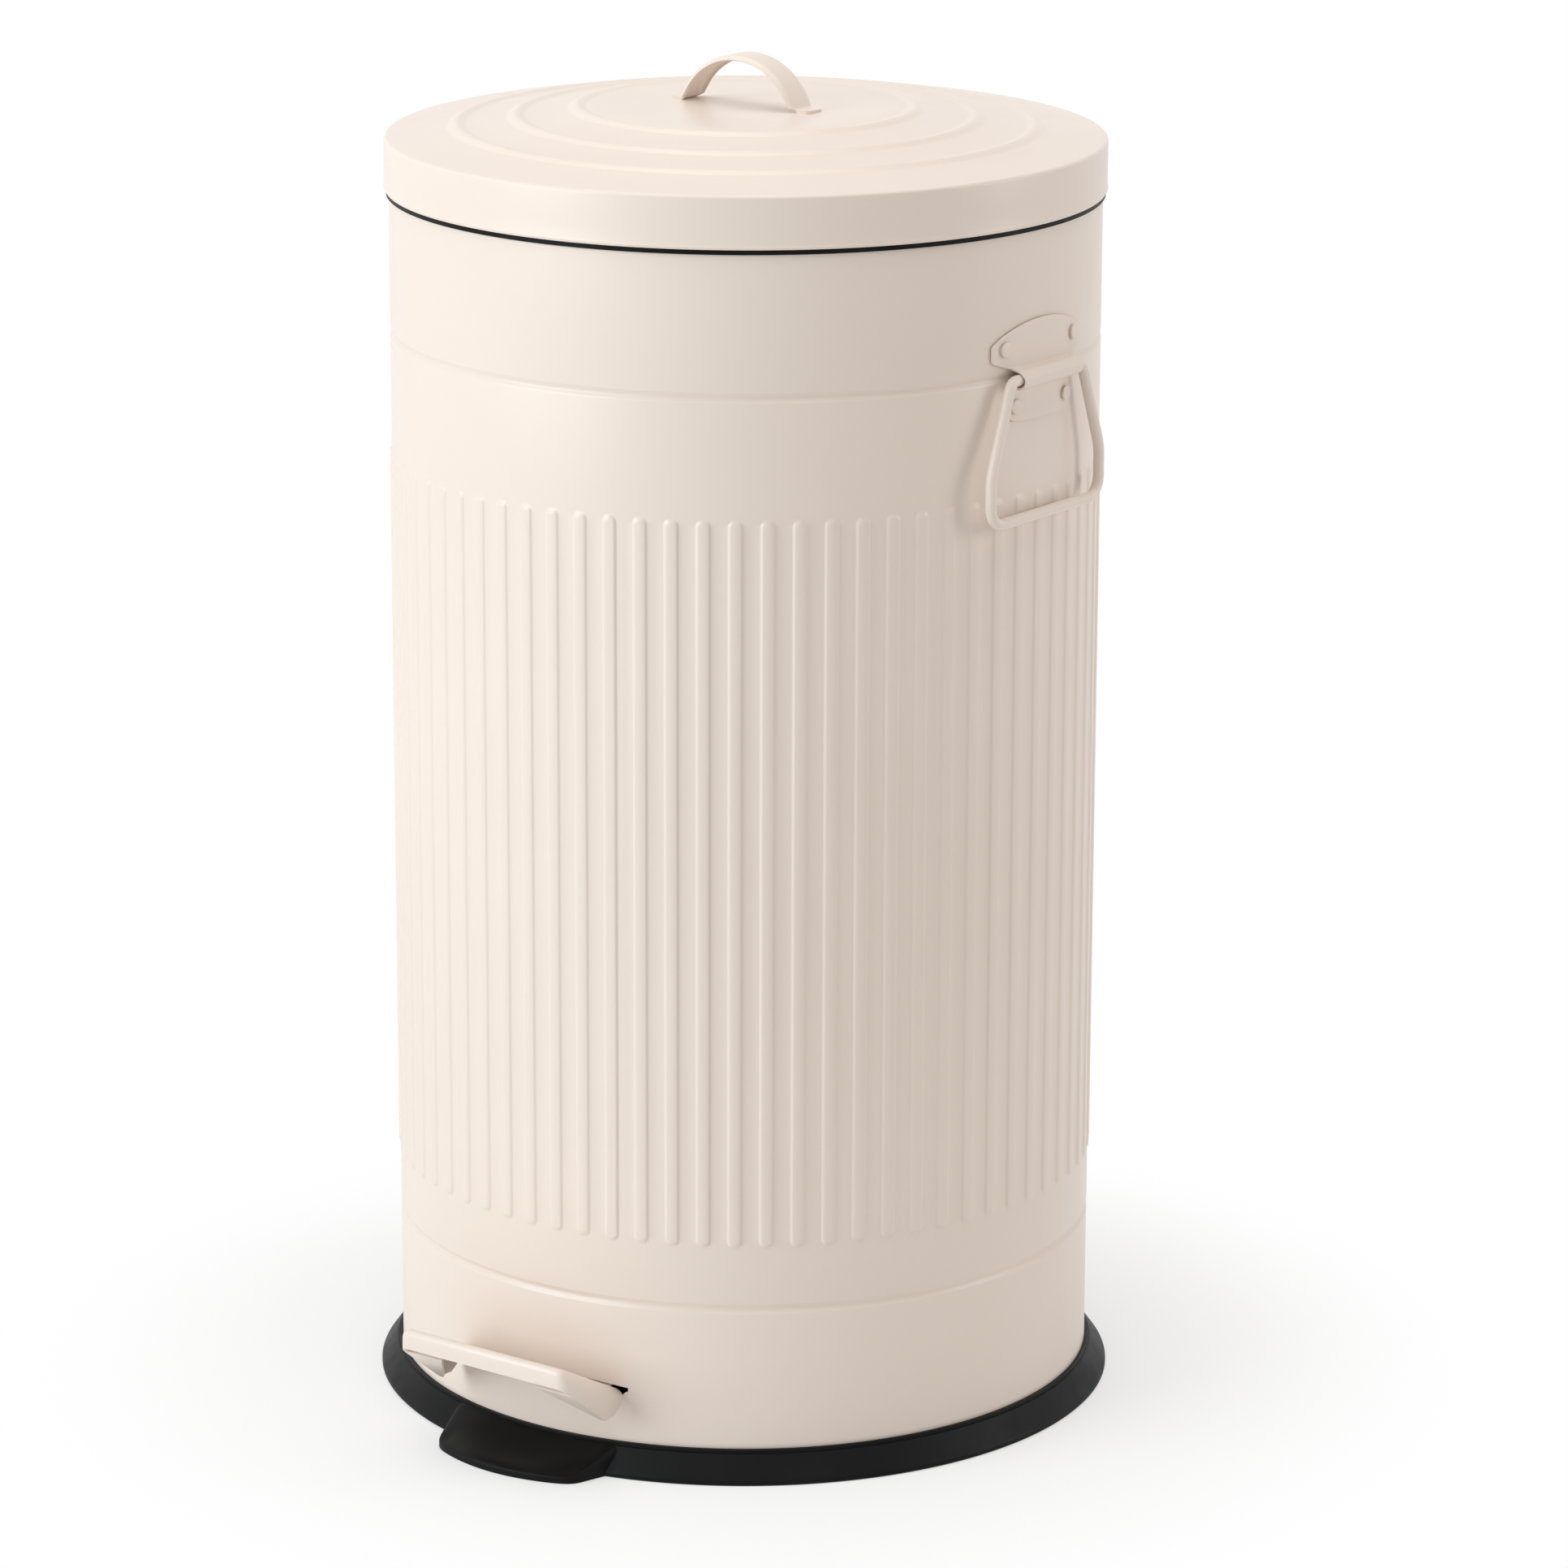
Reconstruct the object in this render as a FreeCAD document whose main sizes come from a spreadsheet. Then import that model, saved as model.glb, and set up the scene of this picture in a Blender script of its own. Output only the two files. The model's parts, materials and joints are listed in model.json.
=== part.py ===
import FreeCAD, Part
import math
import os

import Sketcher

# A round step-on trash can. Origin on the can's axis at the floor, +Z up, -Y is the pedal side.
# Sizes are millimetres, angles are degrees from the front (-Y) towards the right (+X).

SIZES = {
    # can
    "body_radius": 163.0,
    "body_wall": 1.0,
    "body_top": 565.0,
    "groove_depth": 0.8,
    "groove_height": 5.0,
    "upper_groove_drop": 63.5,
    "lower_groove": 81.5,
    "rib_count": 72,
    "rib_width": 7.4,
    "rib_height": 0.6,
    "rib_low": 110.5,
    "rib_drop": 117.5,
    # black base pan with the guard under the pedal
    "pan_spread": 10.3,
    "pan_floor": 3.5,
    "pan_edge": 2.2,
    "pan_height": 14.5,
    "pan_lip": 1.6,
    "pan_fit": 0.1,
    "guard_out": 21.0,
    "guard_width": 79.0,
    "guard_root": 94.0,
    "guard_corner": 9.5,
    "guard_nose": 5.0,
    # steel floor
    "floor_sheet": 1.2,
    "floor_flange": 12.0,
    "floor_fit": 0.1,
    # black edging on the can's top edge
    "rim_sheet": 1.9,
    "rim_overhang": 1.3,
    "rim_skirt": 8.0,
    "rim_wall": 1.4,
    "rim_fit": 0.1,
    # lid
    "lid_overhang": 2.0,
    "lid_wall": 1.0,
    "lid_gap": 0.3,
    "lid_skirt": 22.8,
    "lid_corner": 3.0,
    "lid_rise": 14.0,
    "crown_inset": 94.0,
    "inner_bead_inset": 88.0,
    "middle_bead_inset": 60.0,
    "outer_bead_inset": 33.0,
    "bead_width": 10.0,
    "bead_height": 1.6,
    # strap handle on the lid
    "strap_width": 18.0,
    "strap_sheet": 1.4,
    "strap_span": 65.0,
    "strap_rise": 23.4,
    "strap_foot": 9.5,
    # lid hinge at the back
    "lid_open": 75.0,
    "hinge_setback": 8.0,
    "hinge_lift": 4.8,
    "hinge_pin": 4.5,
    "hinge_fit": 0.04,
    "knuckle": 8.6,
    "knuckle_width": 23.0,
    "ear_sheet": 2.2,
    "ear_gap": 0.4,
    "ear_radius": 5.2,
    "leaf_sheet": 1.4,
    "leaf_width": 21.3,
    "saddle_sheet": 1.6,
    "saddle_width": 40.0,
    "saddle_height": 34.0,
    "saddle_rivet_low": 8.5,
    "saddle_rivet_high": 23.8,
    # push rod and the lid's inner lever
    "rod": 5.0,
    "rod_reach": 23.0,
    "rod_side": 20.0,
    "rod_bend": 6.0,
    "rod_fit": 0.05,
    "rod_play": 1.25,
    "rod_tail": 3.0,
    "clip_width": 10.0,
    "clip_sheet": 1.2,
    "lever_sheet": 2.4,
    "lever_margin": 3.0,
    "tab_sheet": 1.2,
    "guide_height": 12.0,
    "guide_wall": 3.2,
    "lower_guide": 120.0,
    "upper_guide_drop": 95.0,
    # pedal
    "pedal_width": 97.0,
    "pedal_out": 38.0,
    "pedal_climb": 27.0,
    "pedal_sheet": 2.0,
    "pedal_lip": 10.7,
    "bend_inset": 13.0,
    "web_gap": 1.2,
    "web_reach": 14.4,
    "web_drop": 11.2,
    "web_bow": 16.0,
    "pedal_flange": 8.0,
    "nose_round": 3.0,
    "slit_gap": 0.6,
    "slit_sill": 1.3,
    "slit_side": 0.9,
    "pedal_rivet_side": 5.2,
    # pedal lever and its axle
    "pivot_inset": 38.0,
    "pivot_lift": 21.8,
    "lever_width": 26.0,
    "channel_sheet": 2.0,
    "lever_depth": 15.0,
    "tail_gap": 3.1,
    "heel_lift": 11.8,
    "axle": 6.0,
    "axle_fit": 0.04,
    "bush_wall": 1.5,
    "bush_flange": 1.8,
    "bush_rim": 0.5,
    "bush_cover": 1.0,
    "bracket_sheet": 2.0,
    "bracket_length": 26.0,
    "bracket_gap": 0.15,
    "axle_tail": 3.6,
    # bridge that carries the bucket
    "bridge_width": 150.0,
    "bridge_gap": 6.0,
    "bridge_height": 57.3,
    "bridge_sheet": 1.5,
    "bridge_foot": 16.0,
    # bucket
    "bucket_gap": 0.1,
    "bucket_taper": 12.0,
    "bucket_drop": 25.0,
    "rod_clear": 1.1,
    "bucket_wall": 2.0,
    "bucket_rim": 5.0,
    "bucket_rim_height": 4.0,
    "lug_width": 18.0,
    "lug_height": 16.0,
    "bail_rest": 13.0,
    "bail_stand": 11.5,
    "bail_start_angle": 4.6,
    "bail": 4.0,
    "bail_fit": 0.08,
    "bail_turn": 5.0,
    "grip": 9.0,
    "grip_angle": 36.0,
    # drop handles
    "handle_below": 64.5,
    "handle_wire": 5.0,
    "handle_clear": 0.6,
    "handle_fit": 0.08,
    "handle_neck": 28.0,
    "handle_half": 43.0,
    "handle_knee": 41.0,
    "handle_drop": 63.2,
    "handle_turn": 5.0,
    "handle_sweep": 25.0,
    "handle_corner": 9.0,
    "handle_sheet": 1.2,
    "tunnel_half": 22.5,
    "wire_end": 8.0,
    "plate_half": 34.5,
    "plate_shoulder": 9.0,
    "plate_side": 7.5,
    "plate_crown": 8.5,
    "tab_half": 23.0,
    "tab_drop": 19.0,
    "tab_bow": 1.2,
    # rivets and screws
    "rivet": 4.0,
    "rivet_head": 6.8,
    "rivet_dome": 1.7,
    "rivet_fit": 0.05,
    "rivet_tail": 5.6,
    "tail_sheet": 1.0,
    "upper_rivet_side": 26.3,
    "upper_rivet": 13.8,
    "lower_rivet_side": 19.3,
    "lower_rivet": 12.7,
    "screw": 3.2,
    "screw_head": 7.0,
    "screw_sink": 2.0,
    "screw_length": 6.0,
    "screw_inset": 12.0,
}

FULL_TURN = 360.0
RIGHT = 90.0
BACK = 180.0
CUT_DEPTH = 24.0
SCREW_COUNT = 4

doc = FreeCAD.newDocument("trash_can")
sheet = doc.addObject("Spreadsheet::Sheet", "Dims")
for row, (alias, number) in enumerate(SIZES.items(), start=1):
    sheet.set(f"A{row}", str(number))
    sheet.setAlias(f"A{row}", alias)
doc.recompute()

pieces = []


class Dim:
    """A size that carries its number and the sheet formula that gives it."""

    def __init__(self, value, text):
        self.value = value
        self.text = text

    def __add__(self, other):
        return joined(self, "+", other)

    def __radd__(self, other):
        return joined(other, "+", self)

    def __sub__(self, other):
        return joined(self, "-", other)

    def __rsub__(self, other):
        return joined(other, "-", self)

    def __mul__(self, other):
        return joined(self, "*", other)

    def __rmul__(self, other):
        return joined(other, "*", self)

    def __truediv__(self, other):
        return joined(self, "/", other)

    def __neg__(self):
        return joined(0, "-", self)


def as_dim(size):
    if isinstance(size, Dim):
        return size
    return Dim(float(size), f"({size})")


def joined(first, sign, second):
    first = as_dim(first)
    second = as_dim(second)
    values = {
        "+": first.value + second.value,
        "-": first.value - second.value,
        "*": first.value * second.value,
        "/": first.value / second.value if second.value else 0.0,
    }
    return Dim(values[sign], f"({first.text} {sign} {second.text})")


def dim(alias):
    return Dim(float(sheet.get(alias)), f"Dims.{alias}")


def root(size):
    return Dim(math.sqrt(size.value), f"sqrt({size.text})")


def sine(angle):
    angle = as_dim(angle)
    return Dim(math.sin(math.radians(angle.value)), f"sin({angle.text} * 1 deg)")


def cosine(angle):
    angle = as_dim(angle)
    return Dim(math.cos(math.radians(angle.value)), f"cos({angle.text} * 1 deg)")


def tangent(angle):
    return sine(angle) / cosine(angle)


def arc_sine(share):
    return Dim(math.degrees(math.asin(share.value)), f"(asin({share.text}) / 1 deg)")


def bind(item, place, size):
    item.setExpression(place, as_dim(size).text)


# Sketches and features

def new_body(label):
    body = doc.addObject("PartDesign::Body", label)
    body.Label = label
    pieces.append(body)
    return body


def origin_item(body, role):
    return next(item for item in body.Origin.OriginFeatures if item.Role == role)


def new_sketch(body, name, role, offset=None):
    sketch = body.newObject("Sketcher::SketchObject", name)
    sketch.AttachmentSupport = (origin_item(body, role), [""])
    sketch.MapMode = "FlatFace"
    if offset is not None:
        bind(sketch, "AttachmentOffset.Base.z", offset)
    return sketch


def side_sketch(body, name, offset=None):
    """A sketch seen from the right: across is Y, up is Z."""
    return new_sketch(body, name, "YZ_Plane", offset)


def plan_sketch(body, name, offset=None):
    """A sketch seen from above: across is X, up is Y."""
    return new_sketch(body, name, "XY_Plane", offset)


def facing_sketch(body, name, azimuth=0, distance=0):
    """An upright sketch that faces outwards at an angle round the can."""
    sketch = new_sketch(body, name, "XZ_Plane")
    upright = FreeCAD.Rotation(FreeCAD.Vector(0, 1, 0), as_dim(azimuth).value)
    sketch.AttachmentOffset = FreeCAD.Placement(FreeCAD.Vector(), upright)
    if as_dim(azimuth).value:
        bind(sketch, "AttachmentOffset.Rotation.Angle", azimuth)
        bind(sketch, "AttachmentOffset.Base.x", distance * sine(azimuth))
    bind(sketch, "AttachmentOffset.Base.z", distance * cosine(azimuth))
    return sketch


def pin_point(sketch, curve, end, across, up):
    """Hold one end of a curve at its place from the sketch's origin."""
    for kind, size, axis in (("DistanceX", across, -2), ("DistanceY", up, -1)):
        size = as_dim(size)
        if abs(size.value) < 1e-9:
            sketch.addConstraint(Sketcher.Constraint("PointOnObject", curve, end, axis))
            continue
        index = sketch.addConstraint(Sketcher.Constraint(kind, -1, 1, curve, end, size.value))
        bind(sketch, f"Constraints[{index}]", size)


def arc_between(start, finish, radius):
    """The short arc between two points; it turns left where the radius is positive."""
    chord = finish - start
    left = FreeCAD.Vector(-chord.y, chord.x, 0).normalize()
    rise = math.sqrt(max(radius * radius - chord.Length * chord.Length / 4, 0.0))
    centre = (start + finish) / 2 + left * math.copysign(rise, radius)
    first, last = (start, finish) if radius > 0 else (finish, start)
    angles = [math.atan2((point - centre).y, (point - centre).x) for point in (first, last)]
    circle = Part.Circle(centre, FreeCAD.Vector(0, 0, 1), abs(radius))
    return Part.ArcOfCircle(circle, angles[0], angles[1])


def outline(sketch, corners, closed=True):
    """Draw lines through the corners; a corner with a third value is reached by an arc of that radius."""
    spots = [FreeCAD.Vector(as_dim(corner[0]).value, as_dim(corner[1]).value, 0) for corner in corners]
    count = len(corners)
    curves = []
    for index in range(0 if closed else 1, count):
        start, finish = spots[index - 1], spots[index]
        if len(corners[index]) == 2:
            curve = sketch.addGeometry(Part.LineSegment(start, finish), False)
            curves.append((curve, 1, 2))
            continue
        radius = as_dim(corners[index][2])
        curve = sketch.addGeometry(arc_between(start, finish, radius.value), False)
        turns_left = radius.value > 0
        curves.append((curve, 1, 2) if turns_left else (curve, 2, 1))
        size = radius if turns_left else -radius
        limit = sketch.addConstraint(Sketcher.Constraint("Radius", curve, size.value))
        bind(sketch, f"Constraints[{limit}]", size)
    for number, (curve, tail, head) in enumerate(curves):
        follower = curves[(number + 1) % len(curves)]
        corner = corners[number if closed else number + 1]
        if closed or number + 1 < len(curves):
            sketch.addConstraint(Sketcher.Constraint("Coincident", curve, head, follower[0], follower[1]))
        pin_point(sketch, curve, head, corner[0], corner[1])
    if not closed:
        pin_point(sketch, curves[0][0], curves[0][1], corners[0][0], corners[0][1])
    return sketch


def ring(sketch, across, up, width):
    """A circle of the given diameter."""
    spot = FreeCAD.Vector(as_dim(across).value, as_dim(up).value, 0)
    shape = Part.Circle(spot, FreeCAD.Vector(0, 0, 1), as_dim(width).value / 2)
    curve = sketch.addGeometry(shape, False)
    limit = sketch.addConstraint(Sketcher.Constraint("Diameter", curve, as_dim(width).value))
    bind(sketch, f"Constraints[{limit}]", width)
    pin_point(sketch, curve, 3, across, up)
    return sketch


def box_corners(left, right, low, high):
    return [(left, low), (right, low), (right, high), (left, high)]


def revolve(body, sketch, name, angle=None):
    feature = body.newObject("PartDesign::Revolution", name)
    feature.Profile = sketch
    feature.ReferenceAxis = (sketch, ["V_Axis"])
    if angle is None:
        feature.Angle = FULL_TURN
    else:
        feature.Midplane = True
        bind(feature, "Angle", angle)
    return feature


def pad(body, sketch, name, length, both_ways=True):
    feature = body.newObject("PartDesign::Pad", name)
    feature.Profile = sketch
    feature.Midplane = both_ways
    bind(feature, "Length", length)
    return feature


def pocket(body, sketch, name, length=CUT_DEPTH):
    """Cut half the length to each side of the sketch."""
    feature = body.newObject("PartDesign::Pocket", name)
    feature.Profile = sketch
    feature.Midplane = True
    bind(feature, "Length", length)
    return feature


def mirrored(body, features, name, role="YZ_Plane"):
    feature = body.newObject("PartDesign::Mirrored", name)
    feature.Originals = features
    feature.MirrorPlane = (origin_item(body, role), [""])
    body.Tip = feature
    return feature


def swept(body, route, section, name):
    """A wire of a round section along a route."""
    doc.recompute()
    feature = body.newObject("PartDesign::AdditivePipe", name)
    feature.Profile = section
    feature.Spine = (route, [f"Edge{number + 1}" for number in range(len(route.Shape.Edges))])
    return feature


def round_edges(body, base, name, radius, wanted):
    doc.recompute()
    edges = [f"Edge{number}" for number, edge in enumerate(base.Shape.Edges, start=1) if wanted(edge)]
    feature = body.newObject("PartDesign::Fillet", name)
    feature.Base = (base, edges)
    bind(feature, "Radius", radius)
    return feature


def radial_hole(body, name, azimuth, height, radius, width):
    """A round hole through a wall, square to the can's surface."""
    sketch = facing_sketch(body, f"{name}_sketch", azimuth, radius)
    ring(sketch, 0, height, width)
    return pocket(body, sketch, name)


def rounded_route(corners, radii):
    """Corners of a wire's route, with each inner corner replaced by an arc's two ends."""
    route = [corners[0]]
    for before, corner, after, radius in zip(corners, corners[1:], corners[2:], radii):
        way_in = unit_step(before, corner)
        way_out = unit_step(corner, after)
        turn = way_in[0] * way_out[1] - way_in[1] * way_out[0]
        reach = radius * bend_reach(way_in, way_out)
        signed = radius if turn.value > 0 else -radius
        route.append((corner[0] - reach * way_in[0], corner[1] - reach * way_in[1]))
        route.append((corner[0] + reach * way_out[0], corner[1] + reach * way_out[1], signed))
    route.append(corners[-1])
    return route


def unit_step(start, finish):
    across = as_dim(finish[0]) - start[0]
    up = as_dim(finish[1]) - start[1]
    length = root(across * across + up * up)
    return across / length, up / length


def bend_reach(way_in, way_out):
    """Tangent of half the turn between two directions."""
    along = way_in[0] * way_out[0] + way_in[1] * way_out[1]
    return root((1 - along) / (1 + along))


# Shared places

body_radius = dim("body_radius")
body_inside = body_radius - dim("body_wall")
body_top = dim("body_top")
pan_floor = dim("pan_floor")
pan_radius = body_radius + dim("pan_spread")
guard_reach = pan_radius + dim("guard_out")
floor_top = pan_floor + dim("floor_sheet")
floor_inside = body_inside - dim("floor_fit") - dim("floor_sheet")

rim_top = body_top + dim("rim_sheet")
lid_low = rim_top + dim("lid_gap")
lid_edge = lid_low + dim("lid_skirt")
lid_radius = body_radius + dim("lid_overhang")
lid_inside = lid_radius - dim("lid_wall")
lid_crown = lid_edge + dim("lid_rise")
crown_radius = lid_radius - dim("crown_inset")

hinge_y = lid_radius + dim("hinge_setback") - dim("leaf_sheet")
hinge_z = lid_low + dim("hinge_lift")
half_open = dim("lid_open") / 2
rod_y = hinge_y - dim("rod_reach")
rod_lift = 2 * dim("rod_reach") * tangent(half_open)
rod_high = hinge_z - rod_lift / 2
rod_low = floor_top + dim("heel_lift")

pivot_front = body_radius - dim("pivot_inset")
pivot_y = -pivot_front
pivot_z = floor_top + dim("pivot_lift")
bush_width = dim("axle") + 2 * dim("bush_wall")
lever_top = pivot_z + bush_width / 2 + dim("bush_cover") + dim("channel_sheet")
pedal_bend = dim("bend_inset") - body_radius
pedal_half = dim("pedal_width") / 2
bend_top = lever_top + dim("pedal_sheet")
nose_y = -body_radius - dim("pedal_out")
nose_top = bend_top + dim("pedal_climb")
pedal_slope = dim("pedal_climb") / (pedal_bend - nose_y)
pedal_drop = dim("pedal_sheet") * root(1 + pedal_slope * pedal_slope)
pedal_dip = rod_lift / (rod_y - pivot_y)
tongue_end = pivot_y - dim("bracket_length") / 4

handle_x = body_radius + dim("rib_height") + dim("handle_clear") + dim("handle_wire") / 2
handle_z = body_top - dim("handle_below")
plate_face = body_radius + dim("handle_sheet")
rivet_hole = dim("rivet") + 2 * dim("rivet_fit")
upper_rivet_z = handle_z + dim("upper_rivet")
lower_rivet_z = handle_z - dim("lower_rivet")
upper_rivet_angle = arc_sine(dim("upper_rivet_side") / body_radius)
lower_rivet_angle = arc_sine(dim("lower_rivet_side") / body_radius)
handle_rivets = [
    ("upper_left", RIGHT - upper_rivet_angle, upper_rivet_z),
    ("upper_right", RIGHT + upper_rivet_angle, upper_rivet_z),
    ("lower_left", RIGHT - lower_rivet_angle, lower_rivet_z),
    ("lower_right", RIGHT + lower_rivet_angle, lower_rivet_z),
]

saddle_angle = 2 * arc_sine(dim("saddle_width") / 2 / body_radius)
saddle_turn = saddle_angle / 6
saddle_high = body_top - dim("rim_sheet")
saddle_low = saddle_high - dim("saddle_height")
saddle_rivets = [
    (f"saddle_{row}_{side}", BACK + side * saddle_turn, saddle_low + dim(f"saddle_rivet_{row}"))
    for row in ("low", "high") for side in (-1, 1)
]

leaf_angle = 2 * arc_sine(dim("leaf_width") / 2 / lid_radius)
leaf_low = hinge_z
leaf_high = lid_edge - dim("lid_corner")
lid_rivet_z = (leaf_low + leaf_high) / 2 + dim("rivet_head") / 4
lid_rivets = [(f"leaf_{side}", BACK + side * leaf_angle / 4, lid_rivet_z) for side in (-1, 1)]

bracket_rivet_y = [pivot_y + side * dim("bracket_length") / 4 for side in (-1, 1)]
bridge_foot_x = dim("bridge_width") / 2 + dim("bridge_foot")
bridge_corner = floor_inside - dim("bridge_gap")
bridge_half = root(bridge_corner * bridge_corner - bridge_foot_x * bridge_foot_x)
bridge_top = floor_top + dim("bridge_height")
bridge_rivet_x = bridge_foot_x - dim("bridge_foot") / 2
bridge_rivet_spots = [(side * bridge_rivet_x, end * bridge_half / 2) for side in (-1, 1) for end in (-1, 1)]


# Can

def groove_points(radius, height, depth):
    half = dim("groove_height") / 2
    return [(radius, height - half), (radius - depth, height), (radius, height + half)]


def make_body_shell():
    body = new_body("body_shell")
    depth = dim("groove_depth")
    grooves = (dim("lower_groove"), body_top - dim("upper_groove_drop"))
    outer = [point for height in grooves for point in groove_points(body_radius, height, depth)]
    inner = [point for height in grooves for point in groove_points(body_inside, height, depth)]
    corners = [(body_radius, pan_floor)] + outer + [(body_radius, body_top), (body_inside, body_top)]
    corners += inner[::-1] + [(body_inside, pan_floor)]
    revolve(body, outline(facing_sketch(body, "wall_sketch"), corners), "wall")

    slit = facing_sketch(body, "slit_sketch", 0, body_radius)
    slit_half = pedal_half + dim("slit_side")
    slit_high = bend_top + pedal_slope * (body_radius + pedal_bend) + dim("slit_gap")
    side_y = root(body_radius * body_radius - slit_half * slit_half)
    side_z = bend_top + pedal_slope * (side_y + pedal_bend) - pedal_drop
    slit_low = side_z - pedal_dip * (side_y + pivot_y) - dim("slit_sill")
    rise = (pedal_slope - pedal_dip) * (body_radius - side_y)
    bow = (slit_half * slit_half + rise * rise) / (2 * rise)
    outline(slit, [
        (-slit_half, slit_low), (slit_half, slit_low, -bow),
        (slit_half, slit_high - rise), (-slit_half, slit_high - rise, bow),
    ])
    pocket(body, slit, "slit", 2 * CUT_DEPTH)
    for name, azimuth, height in handle_rivets:
        radial_hole(body, f"right_{name}_hole", azimuth, height, body_radius, rivet_hole)
        radial_hole(body, f"left_{name}_hole", azimuth + BACK, height, body_radius, rivet_hole)
    for name, azimuth, height in saddle_rivets:
        radial_hole(body, f"{name}_hole", azimuth, height, body_radius, rivet_hole)

    half = dim("rib_width") / 2
    low = dim("rib_low") + half
    rib_high = body_top - dim("rib_drop")
    high = rib_high - half
    buried = dim("body_wall") / 2
    rib_sketch = facing_sketch(body, "rib_sketch", 0, body_radius - buried)
    outline(rib_sketch, [
        (half, high), (0, rib_high, half), (-half, high, half),
        (-half, low), (0, dim("rib_low"), half), (half, low, half),
    ])
    rib = pad(body, rib_sketch, "rib", dim("rib_height") + buried, both_ways=False)
    ribs = body.newObject("PartDesign::PolarPattern", "ribs")
    ribs.Originals = [rib]
    ribs.Axis = (origin_item(body, "Z_Axis"), [""])
    ribs.Angle = FULL_TURN
    bind(ribs, "Occurrences", dim("rib_count"))
    body.Tip = ribs


def screw_spots():
    angles = [FULL_TURN * turn / SCREW_COUNT for turn in range(SCREW_COUNT)]
    circle = body_inside - dim("screw_inset")
    return [(circle * sine(angle), -circle * cosine(angle)) for angle in angles]


def drill(body, name, height, spots, width, length=CUT_DEPTH):
    """Upright round holes at the given spots."""
    sketch = plan_sketch(body, f"{name}_sketch", height)
    for across, along in spots:
        ring(sketch, across, along, width)
    return pocket(body, sketch, name, length)


def make_base_pan():
    body = new_body("base_pan")
    seat = body_radius + dim("pan_fit")
    lip = seat + dim("pan_lip")
    height = dim("pan_height")
    dish = facing_sketch(body, "dish_sketch")
    outline(dish, [
        (0, 0), (pan_radius, 0), (pan_radius, dim("pan_edge")), (lip, height),
        (seat, height), (seat, pan_floor), (0, pan_floor),
    ])
    revolve(body, dish, "dish")

    guard = side_sketch(body, "guard_sketch")
    outline(guard, [
        (-seat, 0), (-guard_reach, 0), (-guard_reach, dim("guard_nose")), (-lip, height), (-seat, height),
    ])
    pad(body, guard, "guard", dim("guard_root"))

    root_half = dim("guard_root") / 2
    root_y = -root(pan_radius * pan_radius - root_half * root_half)
    half = dim("guard_width") / 2
    bow = dim("guard_corner")
    corner_y = bow - guard_reach
    far_x = root_half + bow
    far_y = -guard_reach - bow
    trim = plan_sketch(body, "guard_trim_sketch")
    outline(trim, [
        (root_half, root_y), (half, corner_y), (-half, corner_y, -(half * half + bow * bow) / (2 * bow)),
        (-root_half, root_y), (-far_x, root_y), (-far_x, far_y), (far_x, far_y), (far_x, root_y),
    ])
    pocket(body, trim, "guard_trim", 2 * CUT_DEPTH)

    bay = facing_sketch(body, "bay_sketch")
    outline(bay, box_corners(0, seat, pan_floor, height + dim("pan_lip")))
    groove = body.newObject("PartDesign::Groove", "bay")
    groove.Profile = bay
    groove.ReferenceAxis = (bay, ["V_Axis"])
    groove.Angle = FULL_TURN
    hole = dim("screw") + 2 * dim("rivet_fit")
    drill(body, "screw_holes", pan_floor, screw_spots(), hole)
    sink = dim("screw_head") + 4 * dim("rivet_fit")
    drill(body, "screw_sinks", 0, screw_spots(), sink, 2 * dim("screw_sink"))


def make_base_plate():
    body = new_body("base_plate")
    outside = body_inside - dim("floor_fit")
    inside = floor_inside
    top = floor_top + dim("floor_flange")
    dish = facing_sketch(body, "dish_sketch")
    outline(dish, [
        (0, pan_floor), (outside, pan_floor), (outside, top), (inside, top),
        (inside, floor_top), (0, floor_top),
    ])
    revolve(body, dish, "dish")
    drill(body, "screw_holes", pan_floor, screw_spots(), dim("screw") + 2 * dim("rivet_fit"))
    spots = [(0, along) for along in bracket_rivet_y] + bridge_rivet_spots
    drill(body, "rivet_holes", pan_floor, spots, rivet_hole)


def make_rim_ring():
    body = new_body("rim_ring")
    outside = body_radius + dim("rim_overhang")
    wall = body_inside - dim("rim_fit")
    inside = wall - dim("rim_wall")
    low = body_top - dim("rim_skirt")
    section = facing_sketch(body, "section_sketch")
    outline(section, [
        (wall, body_top), (outside, body_top), (outside, rim_top), (inside, rim_top),
        (inside, low), (wall, low),
    ])
    revolve(body, section, "section")


def make_bucket_platform():
    body = new_body("bucket_platform")
    sheet_size = dim("bridge_sheet")
    out = dim("bridge_width") / 2
    inner = out - sheet_size
    foot = bridge_foot_x
    top = bridge_top
    sole = floor_top + sheet_size
    section = facing_sketch(body, "section_sketch")
    outline(section, [
        (-foot, floor_top), (-inner, floor_top), (-inner, top - sheet_size), (inner, top - sheet_size),
        (inner, floor_top), (foot, floor_top), (foot, sole), (out, sole),
        (out, top), (-out, top), (-out, sole), (-foot, sole),
    ])
    pad(body, section, "section", 2 * bridge_half)
    drill(body, "rivet_holes", floor_top, bridge_rivet_spots, rivet_hole)


# Pedal and its lever

ear_inside = dim("lever_width") / 2 + dim("bush_rim") + dim("bracket_gap")
ear_outside = ear_inside + dim("bracket_sheet")
axle_bore = dim("axle") + 2 * dim("axle_fit")


def cross_bore(body, name, across, up, width, length=2 * CUT_DEPTH):
    """A round hole along X, equally far to both sides of the middle."""
    sketch = side_sketch(body, f"{name}_sketch")
    ring(sketch, across, up, width)
    return pocket(body, sketch, name, length)


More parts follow.
